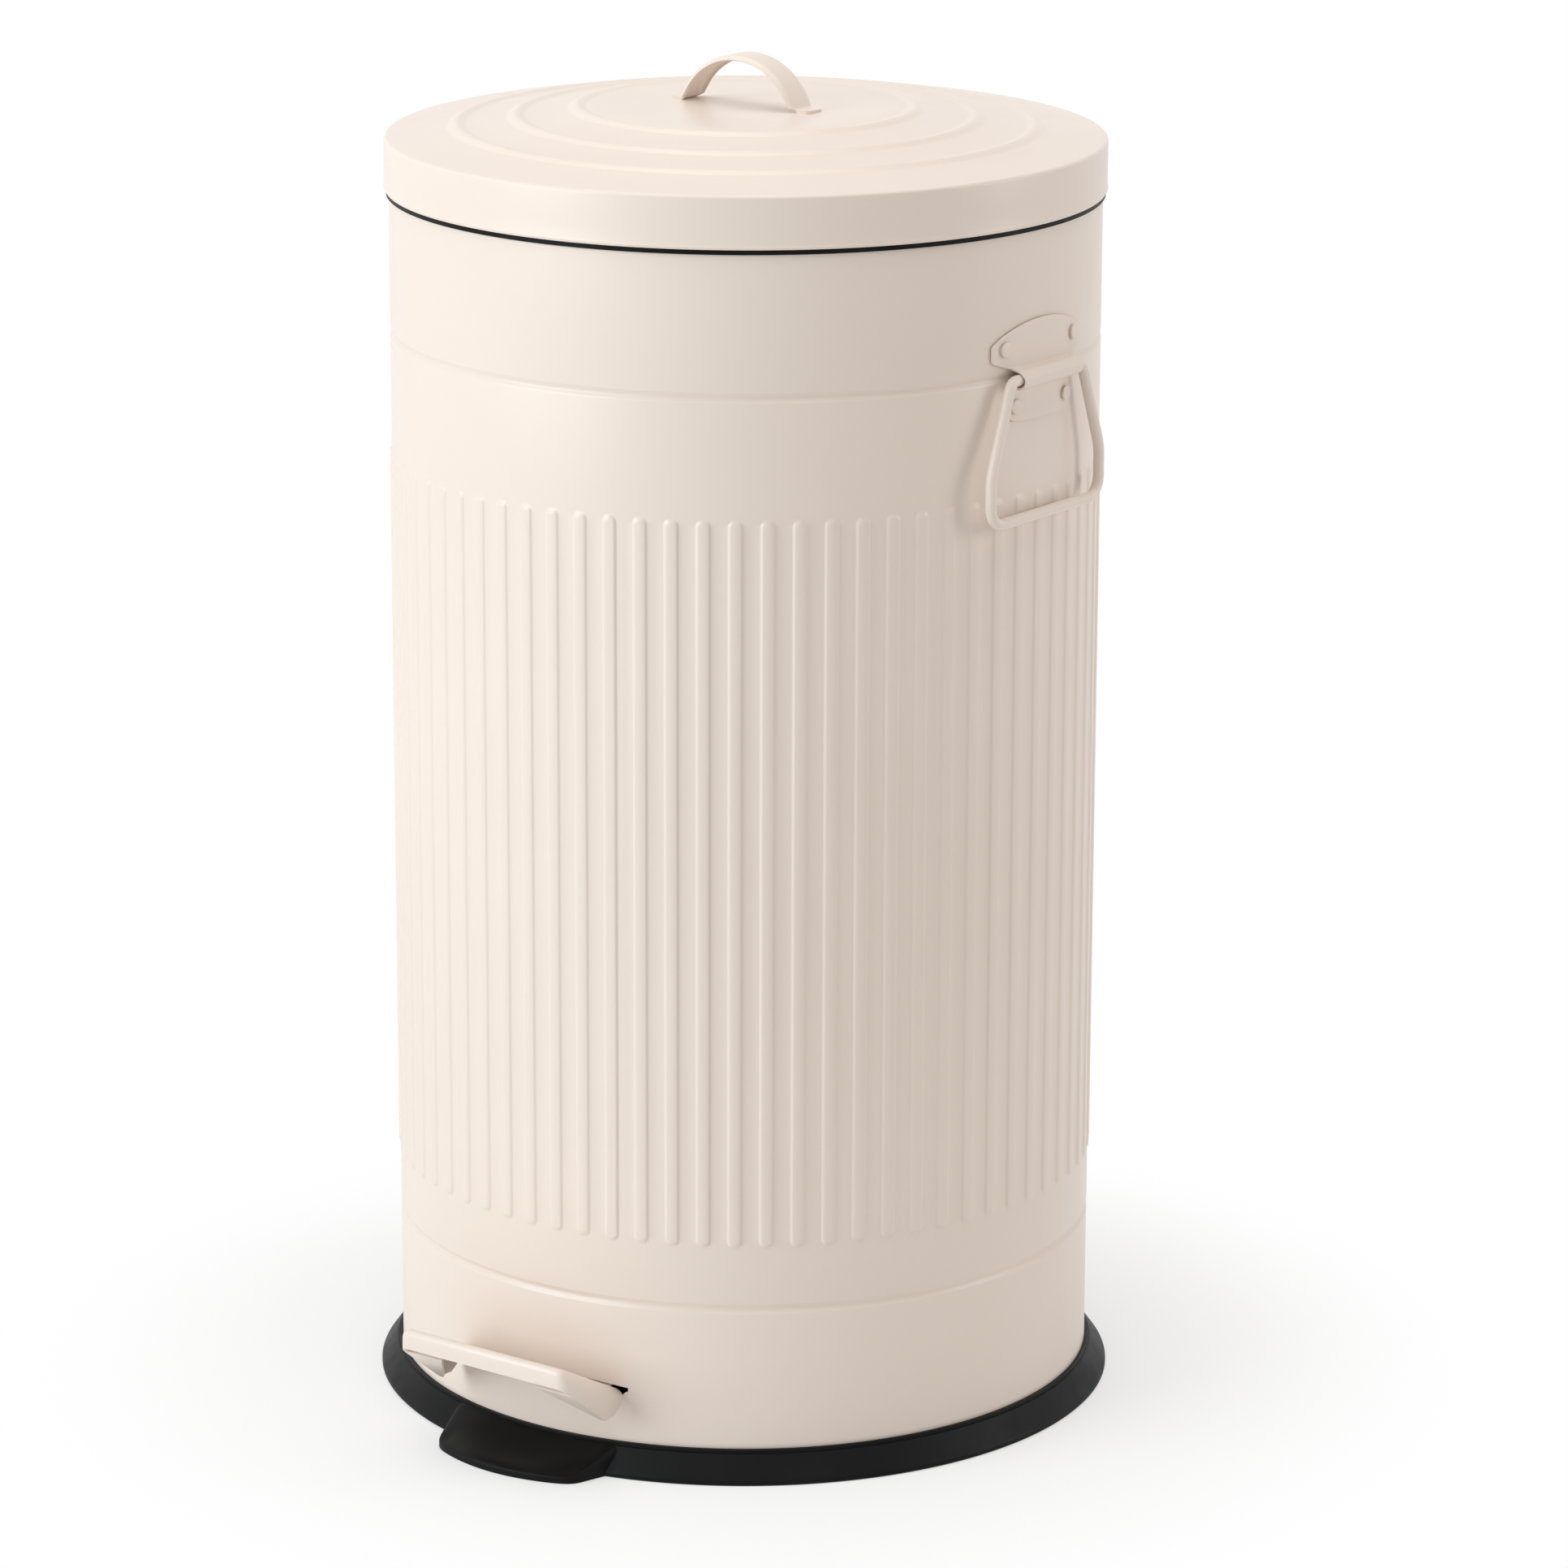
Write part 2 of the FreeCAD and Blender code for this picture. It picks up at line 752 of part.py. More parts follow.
def make_pedal_bracket():
    body = new_body("pedal_bracket")
    top = pivot_z + dim("axle") + dim("bracket_sheet")
    sole = floor_top + dim("bracket_sheet")
    section = facing_sketch(body, "section_sketch", 0, pivot_front)
    outline(section, [
        (-ear_outside, floor_top), (ear_outside, floor_top), (ear_outside, top), (ear_inside, top),
        (ear_inside, sole), (-ear_inside, sole), (-ear_inside, top), (-ear_outside, top),
    ])
    pad(body, section, "section", dim("bracket_length"))
    cross_bore(body, "axle_bore", pivot_y, pivot_z, axle_bore)
    drill(body, "rivet_holes", floor_top, [(0, along) for along in bracket_rivet_y], rivet_hole)


def make_pedal_lever():
    body = new_body("pedal_lever")
    sheet_size = dim("channel_sheet")
    top = lever_top
    front = pedal_bend + 2 * sheet_size
    back = floor_inside - dim("tail_gap")
    low = top - dim("lever_depth")
    back_top = rod_low + dim("rod") + sheet_size
    back_low = rod_low - dim("rod") / 2 - dim("guide_wall")
    side = side_sketch(body, "side_sketch")
    outline(side, [
        (front, top), (front, top - dim("lever_depth") / 2), (pivot_y, low),
        (back, back_low), (back, back_top), (pivot_y, top),
    ])
    pad(body, side, "side", dim("lever_width"))
    hollow = side_sketch(body, "hollow_sketch")
    under = -sheet_size
    outline(hollow, [
        (front - sheet_size, top - sheet_size), (front - sheet_size, under), (back + sheet_size, under),
        (back + sheet_size, back_top - sheet_size), (pivot_y, top - sheet_size),
    ])
    pocket(body, hollow, "hollow", dim("lever_width") - 2 * sheet_size)
    cross_bore(body, "bush_holes", pivot_y, pivot_z, bush_width + 2 * dim("rivet_fit"))
    drill(body, "rivet_holes", top, pedal_rivet_spots(), rivet_hole, 4 * sheet_size)

    half = dim("rod") / 2 + dim("rod_play") / 4
    reach = half + dim("rod_play")
    slot = side_sketch(body, "slot_sketch")
    outline(slot, box_corners(rod_y - reach, rod_y + reach, rod_low - half, rod_low + half))
    pocket(body, slot, "slot", 2 * CUT_DEPTH)


def pedal_rivet_spots():
    along = (pedal_bend + tongue_end) / 2
    return [(side * dim("pedal_rivet_side"), along) for side in (-1, 1)]


def is_nose(edge):
    """The long edge where the pedal's tread turns down into its front lip."""
    spots = [(vertex.Y - nose_y.value, vertex.Z - nose_top.value) for vertex in edge.Vertexes]
    return all(abs(across) + abs(up) < 1e-6 for across, up in spots)


def make_pedal_pad():
    body = new_body("pedal_pad")
    size = dim("pedal_sheet")
    lip_low = nose_top - dim("pedal_lip")
    strip = side_sketch(body, "strip_sketch")
    outline(strip, [
        (nose_y, lip_low), (nose_y + size, lip_low),
        (nose_y + size, nose_top - pedal_drop - pedal_slope * size), (pedal_bend, lever_top),
        (tongue_end, lever_top), (tongue_end, bend_top), (pedal_bend, bend_top),
        (nose_y, nose_top),
    ])
    strip_pad = pad(body, strip, "strip", dim("pedal_width"))
    round_edges(body, strip_pad, "nose", dim("nose_round"), is_nose)

    half = pedal_half
    narrow = dim("lever_width") / 2 - dim("channel_sheet")
    shoulder = pedal_bend - 2 * size
    end = tongue_end + size
    trim = plan_sketch(body, "tongue_trim_sketch", lever_top)
    outline(trim, [
        (half + size, shoulder), (half + size, end), (narrow, end),
        (narrow, pedal_bend + 3 * size), (half, shoulder),
    ])
    trimmed = pocket(body, trim, "tongue_trim", 2 * CUT_DEPTH)
    mirrored(body, [trimmed], "tongue_trims")

    back = -root(body_radius * body_radius - half * half) - dim("web_gap")
    back_top = nose_top + pedal_slope * (nose_y - back)
    tip_y = back - dim("web_reach")
    tip_z = back_top - dim("web_drop")
    bow = dim("web_bow")
    front = nose_y + size / 2
    web = side_sketch(body, "web_sketch", half - size)
    outline(web, [
        (back, back_top - pedal_drop / 2), (front, nose_top - pedal_drop), (front, lip_low),
        (tip_y, tip_z), (back, back_top - pedal_drop, bow),
    ])
    web_pad = pad(body, web, "web", size, both_ways=False)
    edge = side_sketch(body, "flange_sketch", half - dim("pedal_flange"))
    outline(edge, [
        (front, lip_low), (tip_y, tip_z), (tip_y, tip_z + size), (front, lip_low + size),
    ])
    flange = pad(body, edge, "flange", dim("pedal_flange"), both_ways=False)
    mirrored(body, [web_pad, flange], "far_side")
    drill(body, "rivet_holes", lever_top, pedal_rivet_spots(), rivet_hole, 4 * size)


def tube(outside, inside, low, high):
    """A plain ring along Z between two heights, made from numbers."""
    shape = Part.makeCylinder(outside / 2, high - low, FreeCAD.Vector(0, 0, low))
    if inside:
        shape = shape.cut(Part.makeCylinder(inside / 2, high - low, FreeCAD.Vector(0, 0, low)))
    return shape


def along_x(shape, across, up, side=1):
    """Lay an upright shape along X, mirrored to the left where side is -1."""
    turned = shape.copy()
    turned.rotate(FreeCAD.Vector(), FreeCAD.Vector(0, 1, 0), RIGHT * side)
    turned.translate(FreeCAD.Vector(0, across, up))
    return turned


def group(label, shapes):
    """Loose, equal fasteners kept together as one piece."""
    item = doc.addObject("Part::Feature", label)
    item.Label = label
    item.Shape = Part.makeCompound(shapes)
    pieces.append(item)
    return item


def make_lever_bushes():
    flat = dim("lever_width").value / 2
    inside = flat - dim("channel_sheet").value - dim("bush_rim").value
    rim = flat + dim("bush_rim").value
    wide = bush_width.value + 2 * dim("bush_flange").value
    bush = tube(bush_width.value, axle_bore.value, inside, flat).fuse(tube(wide, axle_bore.value, flat, rim))
    bush = bush.removeSplitter()
    group("lever_bushes", [along_x(bush, pivot_y.value, pivot_z.value, side) for side in (-1, 1)])


def make_cross_pin(label, width, half_length, across, up):
    """A round pin along X."""
    pin = doc.addObject("Part::Cylinder", label)
    pin.Label = label
    pin.Placement = FreeCAD.Placement(FreeCAD.Vector(), FreeCAD.Rotation(FreeCAD.Vector(0, 1, 0), RIGHT))
    bind(pin, "Radius", width / 2)
    bind(pin, "Height", 2 * half_length)
    bind(pin, "Placement.Base.x", -half_length)
    bind(pin, "Placement.Base.y", across)
    bind(pin, "Placement.Base.z", up)
    pieces.append(pin)


def make_axle_clips():
    start = ear_outside.value + dim("bracket_gap").value
    bore = dim("axle").value + 2 * dim("axle_fit").value
    clip = tube(dim("clip_width").value, bore, start, start + dim("clip_sheet").value)
    group("axle_clips", [along_x(clip, pivot_y.value, pivot_z.value, side) for side in (-1, 1)])


# Push rod

clip_gap = dim("rod_tail") / 4
rod_foot = dim("lever_width") / 2 + dim("rod_tail") + dim("clip_sheet")
rod_hand = dim("lever_sheet") / 2 + dim("rod_tail") + dim("clip_sheet")


def make_push_rod():
    body = new_body("push_rod")
    side = dim("rod_side")
    route = facing_sketch(body, "route_sketch", 0, -rod_y)
    corners = [(-rod_foot, rod_low), (side, rod_low), (side, rod_high), (-rod_hand, rod_high)]
    outline(route, rounded_route(corners, [dim("rod_bend")] * 2), closed=False)
    section = side_sketch(body, "section_sketch", -rod_foot)
    ring(section, rod_y, rod_low, dim("rod"))
    swept(body, route, section, "wire")


def make_rod_clips():
    bore = dim("rod").value + 2 * dim("rod_fit").value
    clips = []
    for flat, height in ((dim("lever_width") / 2, rod_low), (dim("lever_sheet") / 2, rod_high)):
        start = (flat + clip_gap).value
        clip = tube(dim("clip_width").value, bore, start, start + dim("clip_sheet").value)
        clips.append(along_x(clip, rod_y.value, height.value, -1))
    group("rod_clips", clips)


def make_rod_guide(label, height):
    body = new_body(label)
    side = dim("rod_side")
    half = dim("rod") / 2 + dim("rod_fit") + dim("guide_wall")
    left = side - half
    right = side + half
    left_y = root(body_inside * body_inside - left * left)
    right_y = root(body_inside * body_inside - right * right)
    block = plan_sketch(body, "block_sketch", height)
    outline(block, [
        (left, rod_y - half), (right, rod_y - half), (right, right_y), (left, left_y, body_inside),
    ])
    ring(block, side, rod_y, dim("rod") + 2 * dim("rod_fit"))
    pad(body, block, "block", dim("guide_height"))


# Lid and its hinge

def make_lid_shell():
    body = new_body("lid_shell")
    corner = dim("lid_corner")
    shoulder = lid_radius - corner
    slope = dim("lid_rise") / (shoulder - crown_radius)
    half = dim("bead_width") / 2
    bump = dim("bead_height")
    bead_round = (half * half + bump * bump) / (2 * bump)
    wall = dim("lid_wall")

    def surface(radius):
        return lid_edge + slope * (shoulder - radius)

    insets = (dim("outer_bead_inset"), dim("middle_bead_inset"), dim("inner_bead_inset"))
    outer = []
    inner = []
    for inset in insets:
        rim_in = lid_radius - inset - half
        rim_out = lid_radius - inset + half
        outer += [(rim_out, surface(rim_out)), (rim_in, surface(rim_in), bead_round)]
        inner = [(rim_in, surface(rim_in) - wall), (rim_out, surface(rim_out) - wall, -bead_round)] + inner
    section = facing_sketch(body, "section_sketch")
    outline(section, [
        (lid_radius, lid_low), (lid_radius, lid_edge - corner), (shoulder, lid_edge, corner), *outer,
        (crown_radius, lid_crown), (0, lid_crown), (0, lid_crown - wall),
        (crown_radius, lid_crown - wall), *inner, (shoulder, lid_edge - wall),
        (lid_inside, lid_edge - corner, wall - corner), (lid_inside, lid_low),
    ])
    revolve(body, section, "section")
    for name, azimuth, height in lid_rivets:
        radial_hole(body, f"{name}_hole", azimuth, height, lid_radius, rivet_hole)


def make_lid_handle():
    body = new_body("lid_handle")
    half = dim("strap_span") / 2
    size = dim("strap_sheet")
    rise = dim("strap_rise")
    bow = (half * half + rise * rise) / (2 * rise)
    sunk = bow - rise
    inner_bow = bow - size
    inner_half = root(inner_bow * inner_bow - sunk * sunk)
    outer_half = root(bow * bow - (sunk + size) * (sunk + size))
    foot = half + dim("strap_foot")
    top = lid_crown + size
    strap = facing_sketch(body, "strap_sketch")
    outline(strap, [
        (-foot, lid_crown), (-inner_half, lid_crown), (inner_half, lid_crown, -inner_bow), (foot, lid_crown),
        (foot, top), (outer_half, top), (-outer_half, top, bow), (-foot, top),
    ])
    pad(body, strap, "strap", dim("strap_width"))


def back_sector(body, name, radius, size, low, high, angle):
    """A curved sheet at the back of the can, between two heights."""
    section = side_sketch(body, f"{name}_sketch")
    outline(section, box_corners(radius, radius + size, low, high))
    return revolve(body, section, name, angle)


hinge_bore = dim("hinge_pin") + 2 * dim("hinge_fit")


def make_lid_hinge_leaf():
    body = new_body("lid_hinge_leaf")
    back_sector(body, "leaf", lid_radius, dim("leaf_sheet"), leaf_low, leaf_high, leaf_angle)
    knuckle = side_sketch(body, "knuckle_sketch")
    half = dim("knuckle") / 2
    buried = lid_radius + dim("leaf_sheet") / 2
    outline(knuckle, [
        (buried, hinge_z), (hinge_y - half, hinge_z), (hinge_y, hinge_z - half, half),
        (hinge_y + half, hinge_z, half), (hinge_y, hinge_z + half, half), (buried, hinge_z + half),
    ])
    pad(body, knuckle, "knuckle", dim("knuckle_width"))
    cross_bore(body, "pin_bore", hinge_y, hinge_z, hinge_bore)
    for name, azimuth, height in lid_rivets:
        radial_hole(body, f"{name}_hole", azimuth, height, lid_radius, rivet_hole)


def make_lid_lever():
    body = new_body("lid_lever")
    inside = lid_inside - dim("tab_sheet")
    back_sector(body, "tab", inside, dim("tab_sheet"), leaf_low, leaf_high, leaf_angle)

    down = (-cosine(half_open), -sine(half_open))
    aside = (sine(half_open), -cosine(half_open))
    half = dim("rod") / 2 + dim("rod_play")
    near = dim("rod_reach") + dim("rod_play") / 2
    far = dim("rod_reach") / cosine(half_open) - dim("rod_play") / 2
    wide = half + dim("lever_margin")

    def spot(reach, shift):
        return (hinge_y + reach * down[0] + shift * aside[0], hinge_z + reach * down[1] + shift * aside[1])

    buried = inside + dim("tab_sheet") / 2
    back = body_inside - dim("rim_fit") - dim("rim_wall") - dim("lever_margin") / 2
    heel = (hinge_y + wide * aside[0] - back) / cosine(half_open)
    arm = side_sketch(body, "arm_sketch")
    outline(arm, [
        (buried, leaf_high), (buried, leaf_low), (back, lid_low), spot(heel, wide),
        spot(far + wide, wide), spot(far + wide, -wide), (buried - 2 * wide, leaf_high),
    ])
    pad(body, arm, "arm", dim("lever_sheet"))
    slot = side_sketch(body, "slot_sketch")
    outline(slot, [
        spot(near, half), (*spot(near - half, 0), half), (*spot(near, -half), half),
        spot(far, -half), (*spot(far + half, 0), half), (*spot(far, half), half),
    ])
    pocket(body, slot, "slot")
    for name, azimuth, height in lid_rivets:
        radial_hole(body, f"{name}_hole", azimuth, height, lid_radius, rivet_hole)


ear_start = dim("knuckle_width") / 2 + dim("ear_gap")


def make_hinge_bracket():
    body = new_body("hinge_bracket")
    size = dim("saddle_sheet")
    back_sector(body, "saddle", body_radius, size, saddle_low, saddle_high, saddle_angle)
    bend = dim("ear_radius")
    buried = body_radius + size / 2
    ear = side_sketch(body, "ear_sketch", ear_start)
    outline(ear, [
        (buried, saddle_low + 2 * bend), (buried, saddle_high - size), (hinge_y - bend, saddle_high),
        (hinge_y - bend, hinge_z), (hinge_y, hinge_z + bend, -bend), (hinge_y + bend, hinge_z, -bend),
        (hinge_y + bend, hinge_z - bend),
    ])
    near_ear = pad(body, ear, "ear", dim("ear_sheet"), both_ways=False)
    mirrored(body, [near_ear], "far_ear")
    cross_bore(body, "pin_bore", hinge_y, hinge_z, hinge_bore)
    for name, azimuth, height in saddle_rivets:
        radial_hole(body, f"{name}_hole", azimuth, height, body_radius, rivet_hole)


# Drop handles

def make_handle_plate(label):
    body = new_body(label)
    size = dim("handle_sheet")
    half = dim("plate_half")
    crown = dim("plate_crown")
    shoulder = handle_z + dim("plate_shoulder")
    side = shoulder + dim("plate_side")
    tab = dim("tab_half")
    tab_low = handle_z - dim("tab_drop")
    bow = dim("tab_bow")
    tunnel = dim("handle_wire") / 2 + dim("handle_fit") + size

    blank = facing_sketch(body, "blank_sketch")
    outline(blank, box_corners(body_radius, plate_face, tab_low - crown, side + 2 * crown))
    revolve(body, blank, "blank", FULL_TURN * half / body_radius / 3)
    trim = facing_sketch(body, "trim_sketch", RIGHT, body_radius)
    outline(trim, box_corners(-2 * half, 2 * half, tab_low - 2 * crown, side + 3 * crown))
    outline(trim, [
        (half, shoulder), (half, side), (-half, side, (half * half + crown * crown) / (2 * crown)),
        (-half, shoulder), (-dim("tunnel_half"), handle_z + tunnel),
        (-tab, handle_z - tunnel), (-tab, tab_low),
        (tab, tab_low, (tab * tab + bow * bow) / (2 * bow)), (tab, handle_z - tunnel),
        (dim("tunnel_half"), handle_z + tunnel),
    ])
    pocket(body, trim, "trim")

    arch = facing_sketch(body, "tunnel_sketch")
    buried = body_radius + size / 2
    outline(arch, [
        (buried, handle_z - tunnel), (handle_x, handle_z - tunnel), (handle_x + tunnel, handle_z, tunnel),
        (handle_x, handle_z + tunnel, tunnel), (buried, handle_z + tunnel),
    ])
    pad(body, arch, "tunnel", 2 * dim("tunnel_half"))
    inner = facing_sketch(body, "skin_sketch")
    outline(inner, box_corners(body_radius / 2, body_radius, tab_low - crown, side + 2 * crown))
    groove = body.newObject("PartDesign::Groove", "skin")
    groove.Profile = inner
    groove.ReferenceAxis = (inner, ["V_Axis"])
    groove.Angle = FULL_TURN
    bore = facing_sketch(body, "bore_sketch")
    ring(bore, handle_x, handle_z, dim("handle_wire") + 2 * dim("handle_fit"))
    pocket(body, bore, "bore", 4 * CUT_DEPTH)
    for name, azimuth, height in handle_rivets:
        radial_hole(body, f"{name}_hole", azimuth, height, body_radius, rivet_hole)
    return body


def make_bail(label):
    body = new_body(label)
    end = dim("wire_end")
    neck = dim("handle_neck")
    half = dim("handle_half")
    knee = handle_z - dim("handle_knee")
    low = handle_z - dim("handle_drop")
    half_path = [(end, handle_z), (neck, handle_z), (half, knee), (half, low)]
    corners = half_path + [(-across, up) for across, up in half_path[::-1]]
    radii = [dim("handle_turn"), dim("handle_sweep"), dim("handle_corner")]
    route = facing_sketch(body, "route_sketch", RIGHT, handle_x)
    outline(route, rounded_route(corners, radii + radii[::-1]), closed=False)
    section = facing_sketch(body, "section_sketch", 0, -end)
    ring(section, handle_x, handle_z, dim("handle_wire"))
    swept(body, route, section, "wire")
    return body


def turn_to_left(item):
    """Place a right-hand piece on the left side of the can."""
    item.Placement = FreeCAD.Placement(FreeCAD.Vector(), FreeCAD.Rotation(FreeCAD.Vector(0, 0, 1), BACK))


# Bucket

bucket_low = bridge_top + dim("bucket_gap")
bucket_top = body_top - dim("bucket_drop")
bucket_rim_low = bucket_top - dim("bucket_rim_height")
bucket_mouth = rod_y - dim("rod") / 2 - dim("rod_clear") - dim("bucket_rim")
bail_radius = bucket_mouth + dim("bail_stand")
bail_z = bucket_rim_low - dim("lug_height") / 2
lug_out = bucket_mouth + dim("bucket_rim") + dim("bucket_wall")
bail_tip = bucket_mouth + dim("bucket_wall")


def make_inner_bucket():
    body = new_body("inner_bucket")
    mouth = bucket_mouth
    base = mouth - dim("bucket_taper")
    wall = dim("bucket_wall")
    rim = mouth + dim("bucket_rim")
    top = bucket_top
    section = facing_sketch(body, "section_sketch")
    outline(section, [
        (0, bucket_low), (base, bucket_low), (mouth, bucket_rim_low), (rim, bucket_rim_low), (rim, top),
        (mouth - wall, top), (base - wall, bucket_low + wall), (0, bucket_low + wall),
    ])
    revolve(body, section, "section")
    half = dim("lug_width") / 2
    root_x = mouth - 0.75 * wall
    lug = facing_sketch(body, "lug_sketch", RIGHT, root_x)
    outline(lug, box_corners(-half, half, bucket_rim_low - dim("lug_height"), bucket_rim_low))
    lug_pad = pad(body, lug, "lug", lug_out - root_x, both_ways=False)
    eye = facing_sketch(body, "eye_sketch", RIGHT, lug_out)
    ring(eye, 0, bail_z, dim("bail") + 2 * dim("bail_fit"))
    eye_cut = pocket(body, eye, "eye", 2 * (lug_out - bail_tip) + dim("bail_fit"))
    mirrored(body, [lug_pad, eye_cut], "far_lug")


def bail_route():
    """The bucket's bail seen from above, while it lies level."""
    radius = bail_radius
    start = dim("bail_start_angle")
    corner = radius / cosine(start)
    side = radius * cosine(start)
    along = -radius * sine(start)
    right = rounded_route([(bail_tip, 0), (corner, 0), (side, along)], [dim("bail_turn")])
    left = rounded_route([(-side, along), (-corner, 0), (-bail_tip, 0)], [dim("bail_turn")])
    return right + [(0, -radius, -radius), (*left[0], -radius)] + left[1:]


def tilt(item):
    """Hang a level piece of the bail from the bucket's lugs, sloping down to the front."""
    slope = FreeCAD.Rotation(FreeCAD.Vector(1, 0, 0), dim("bail_rest").value)
    item.Placement = FreeCAD.Placement(FreeCAD.Vector(0, 0, bail_z.value), slope)
    bind(item, "Placement.Base.z", bail_z)
    bind(item, "Placement.Rotation.Angle", dim("bail_rest"))


def make_bucket_bail():
    body = new_body("bucket_bail")
    route = plan_sketch(body, "route_sketch")
    outline(route, bail_route(), closed=False)
    section = side_sketch(body, "section_sketch", bail_tip)
    ring(section, 0, 0, dim("bail"))
    swept(body, route, section, "wire")
    tilt(body)


def make_bail_grip():
    body = new_body("bail_grip")
    radius = bail_radius
    section = side_sketch(body, "section_sketch")
    ring(section, -radius, 0, dim("grip"))
    ring(section, -radius, 0, dim("bail") + 2 * dim("bail_fit"))
    revolve(body, section, "tube", dim("grip_angle"))
    tilt(body)


# Rivets and screws

def rivet_shape(grip_length, tail=True):
    """A domed rivet along Z; its head sits on Z = 0 and a flat tail closes the far side."""
    shank = dim("rivet").value / 2
    head = dim("rivet_head").value / 2
    dome = dim("rivet_dome").value
    play = dim("rivet_fit").value
    end = -(grip_length.value + play) if tail else play - grip_length.value
    ball = (head * head + dome * dome) / (2 * dome)
    cap = Part.makeSphere(ball, FreeCAD.Vector(0, 0, dome - ball))
    cap = cap.common(Part.makeCylinder(head, dome))
    shape = cap.fuse(Part.makeCylinder(shank, -end, FreeCAD.Vector(0, 0, end)))
    if tail:
        size = dim("tail_sheet").value
        tail = dim("rivet_tail").value / 2
        shape = shape.fuse(Part.makeCylinder(tail, size, FreeCAD.Vector(0, 0, end - size)))
    return shape.removeSplitter()


def radial_rivets(label, places, face, grip_length):
    """Rivets square to the can's surface."""
    shapes = []
    for name, azimuth, height in places:
        angle = math.radians(azimuth.value)
        outwards = FreeCAD.Vector(math.sin(angle), -math.cos(angle), 0)
        spot = outwards * face.value + FreeCAD.Vector(0, 0, height.value)
        rivet = rivet_shape(grip_length)
        rivet.Placement = FreeCAD.Placement(spot, FreeCAD.Rotation(FreeCAD.Vector(0, 0, 1), outwards))
        shapes.append(rivet)
    return group(label, shapes)


def upright_rivets(label, spots, height, grip_length, tail=True):
    shapes = []
    for across, along in spots:
        rivet = rivet_shape(grip_length, tail)
        rivet.translate(FreeCAD.Vector(as_dim(across).value, as_dim(along).value, height.value))
        shapes.append(rivet)
    return group(label, shapes)


def make_base_screws():
    sink = dim("screw_sink").value
    head = tube(dim("screw_head").value, 0, dim("rivet_fit").value * 4, sink)
    screw = head.fuse(tube(dim("screw").value, 0, sink, sink + dim("screw_length").value)).removeSplitter()
    shapes = []
    for across, along in screw_spots():
        shape = screw.copy()
        shape.translate(FreeCAD.Vector(across.value, along.value, 0))
        shapes.append(shape)
    group("base_screws", shapes)


def make_can():
    make_body_shell()
    make_base_pan()
    make_base_plate()
    make_base_screws()
    make_rim_ring()
    make_bucket_platform()
    bridge_grip = dim("bridge_sheet") + dim("floor_sheet")
    upright_rivets("platform_rivets", bridge_rivet_spots, floor_top + dim("bridge_sheet"), bridge_grip, False)
    make_pedal_bracket()
    bracket_spots = [(0, along) for along in bracket_rivet_y]
    bracket_grip = dim("bracket_sheet") + dim("floor_sheet")
    upright_rivets("bracket_rivets", bracket_spots, floor_top + dim("bracket_sheet"), bracket_grip, False)
    make_cross_pin("pedal_axle", dim("axle"), ear_outside + dim("axle_tail"), pivot_y, pivot_z)
    make_axle_clips()
    make_rod_guide("lower_rod_guide", dim("lower_guide"))
    make_rod_guide("upper_rod_guide", body_top - dim("upper_guide_drop"))
    make_hinge_bracket()
    saddle_face = body_radius + dim("saddle_sheet")
    radial_rivets("hinge_bracket_rivets", saddle_rivets, saddle_face, dim("saddle_sheet") + dim("body_wall"))
    make_cross_pin("hinge_pin", dim("hinge_pin"), ear_start + 2 * dim("ear_sheet"), hinge_y, hinge_z)


def make_lid():
    make_lid_shell()
    make_lid_handle()
    make_lid_hinge_leaf()
    make_lid_lever()
    leaf_face = lid_radius + dim("leaf_sheet")
    radial_rivets("lid_rivets", lid_rivets, leaf_face, dim("leaf_sheet") + dim("lid_wall") + dim("tab_sheet"))


def make_pedal():
    make_pedal_pad()
    make_pedal_lever()
    pedal_grip = dim("pedal_sheet") + dim("channel_sheet")
    upright_rivets("pedal_rivets", pedal_rivet_spots(), bend_top, pedal_grip)
    make_lever_bushes()


def make_handles():
    rivet_grip = dim("handle_sheet") + dim("body_wall")
    make_handle_plate("right_handle_plate")
    make_bail("right_bail")
    radial_rivets("right_handle_rivets", handle_rivets, plate_face, rivet_grip)
    turn_to_left(make_handle_plate("left_handle_plate"))
    turn_to_left(make_bail("left_bail"))
    turn_to_left(radial_rivets("left_handle_rivets", handle_rivets, plate_face, rivet_grip))


def check_pieces():
    faults = [item.Name for item in doc.Objects if "Invalid" in item.State or "Error" in item.State]
    for item in pieces:
        if item.Shape.isNull() or not item.Shape.isValid() or not item.Shape.Solids:
            faults.append(item.Label)
    if faults:
        raise RuntimeError("faulty: " + ", ".join(faults))


make_can()
make_lid()
make_pedal()
make_push_rod()
make_rod_clips()
make_inner_bucket()
make_bucket_bail()
make_bail_grip()
make_handles()
doc.recompute()
check_pieces()
os.makedirs("parts", exist_ok=True)
for item in pieces:
    item.Shape.exportStep(f"parts/{item.Label}.step")
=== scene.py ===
import json
import math

import bmesh
import bpy
from mathutils import Euler, Matrix, Vector


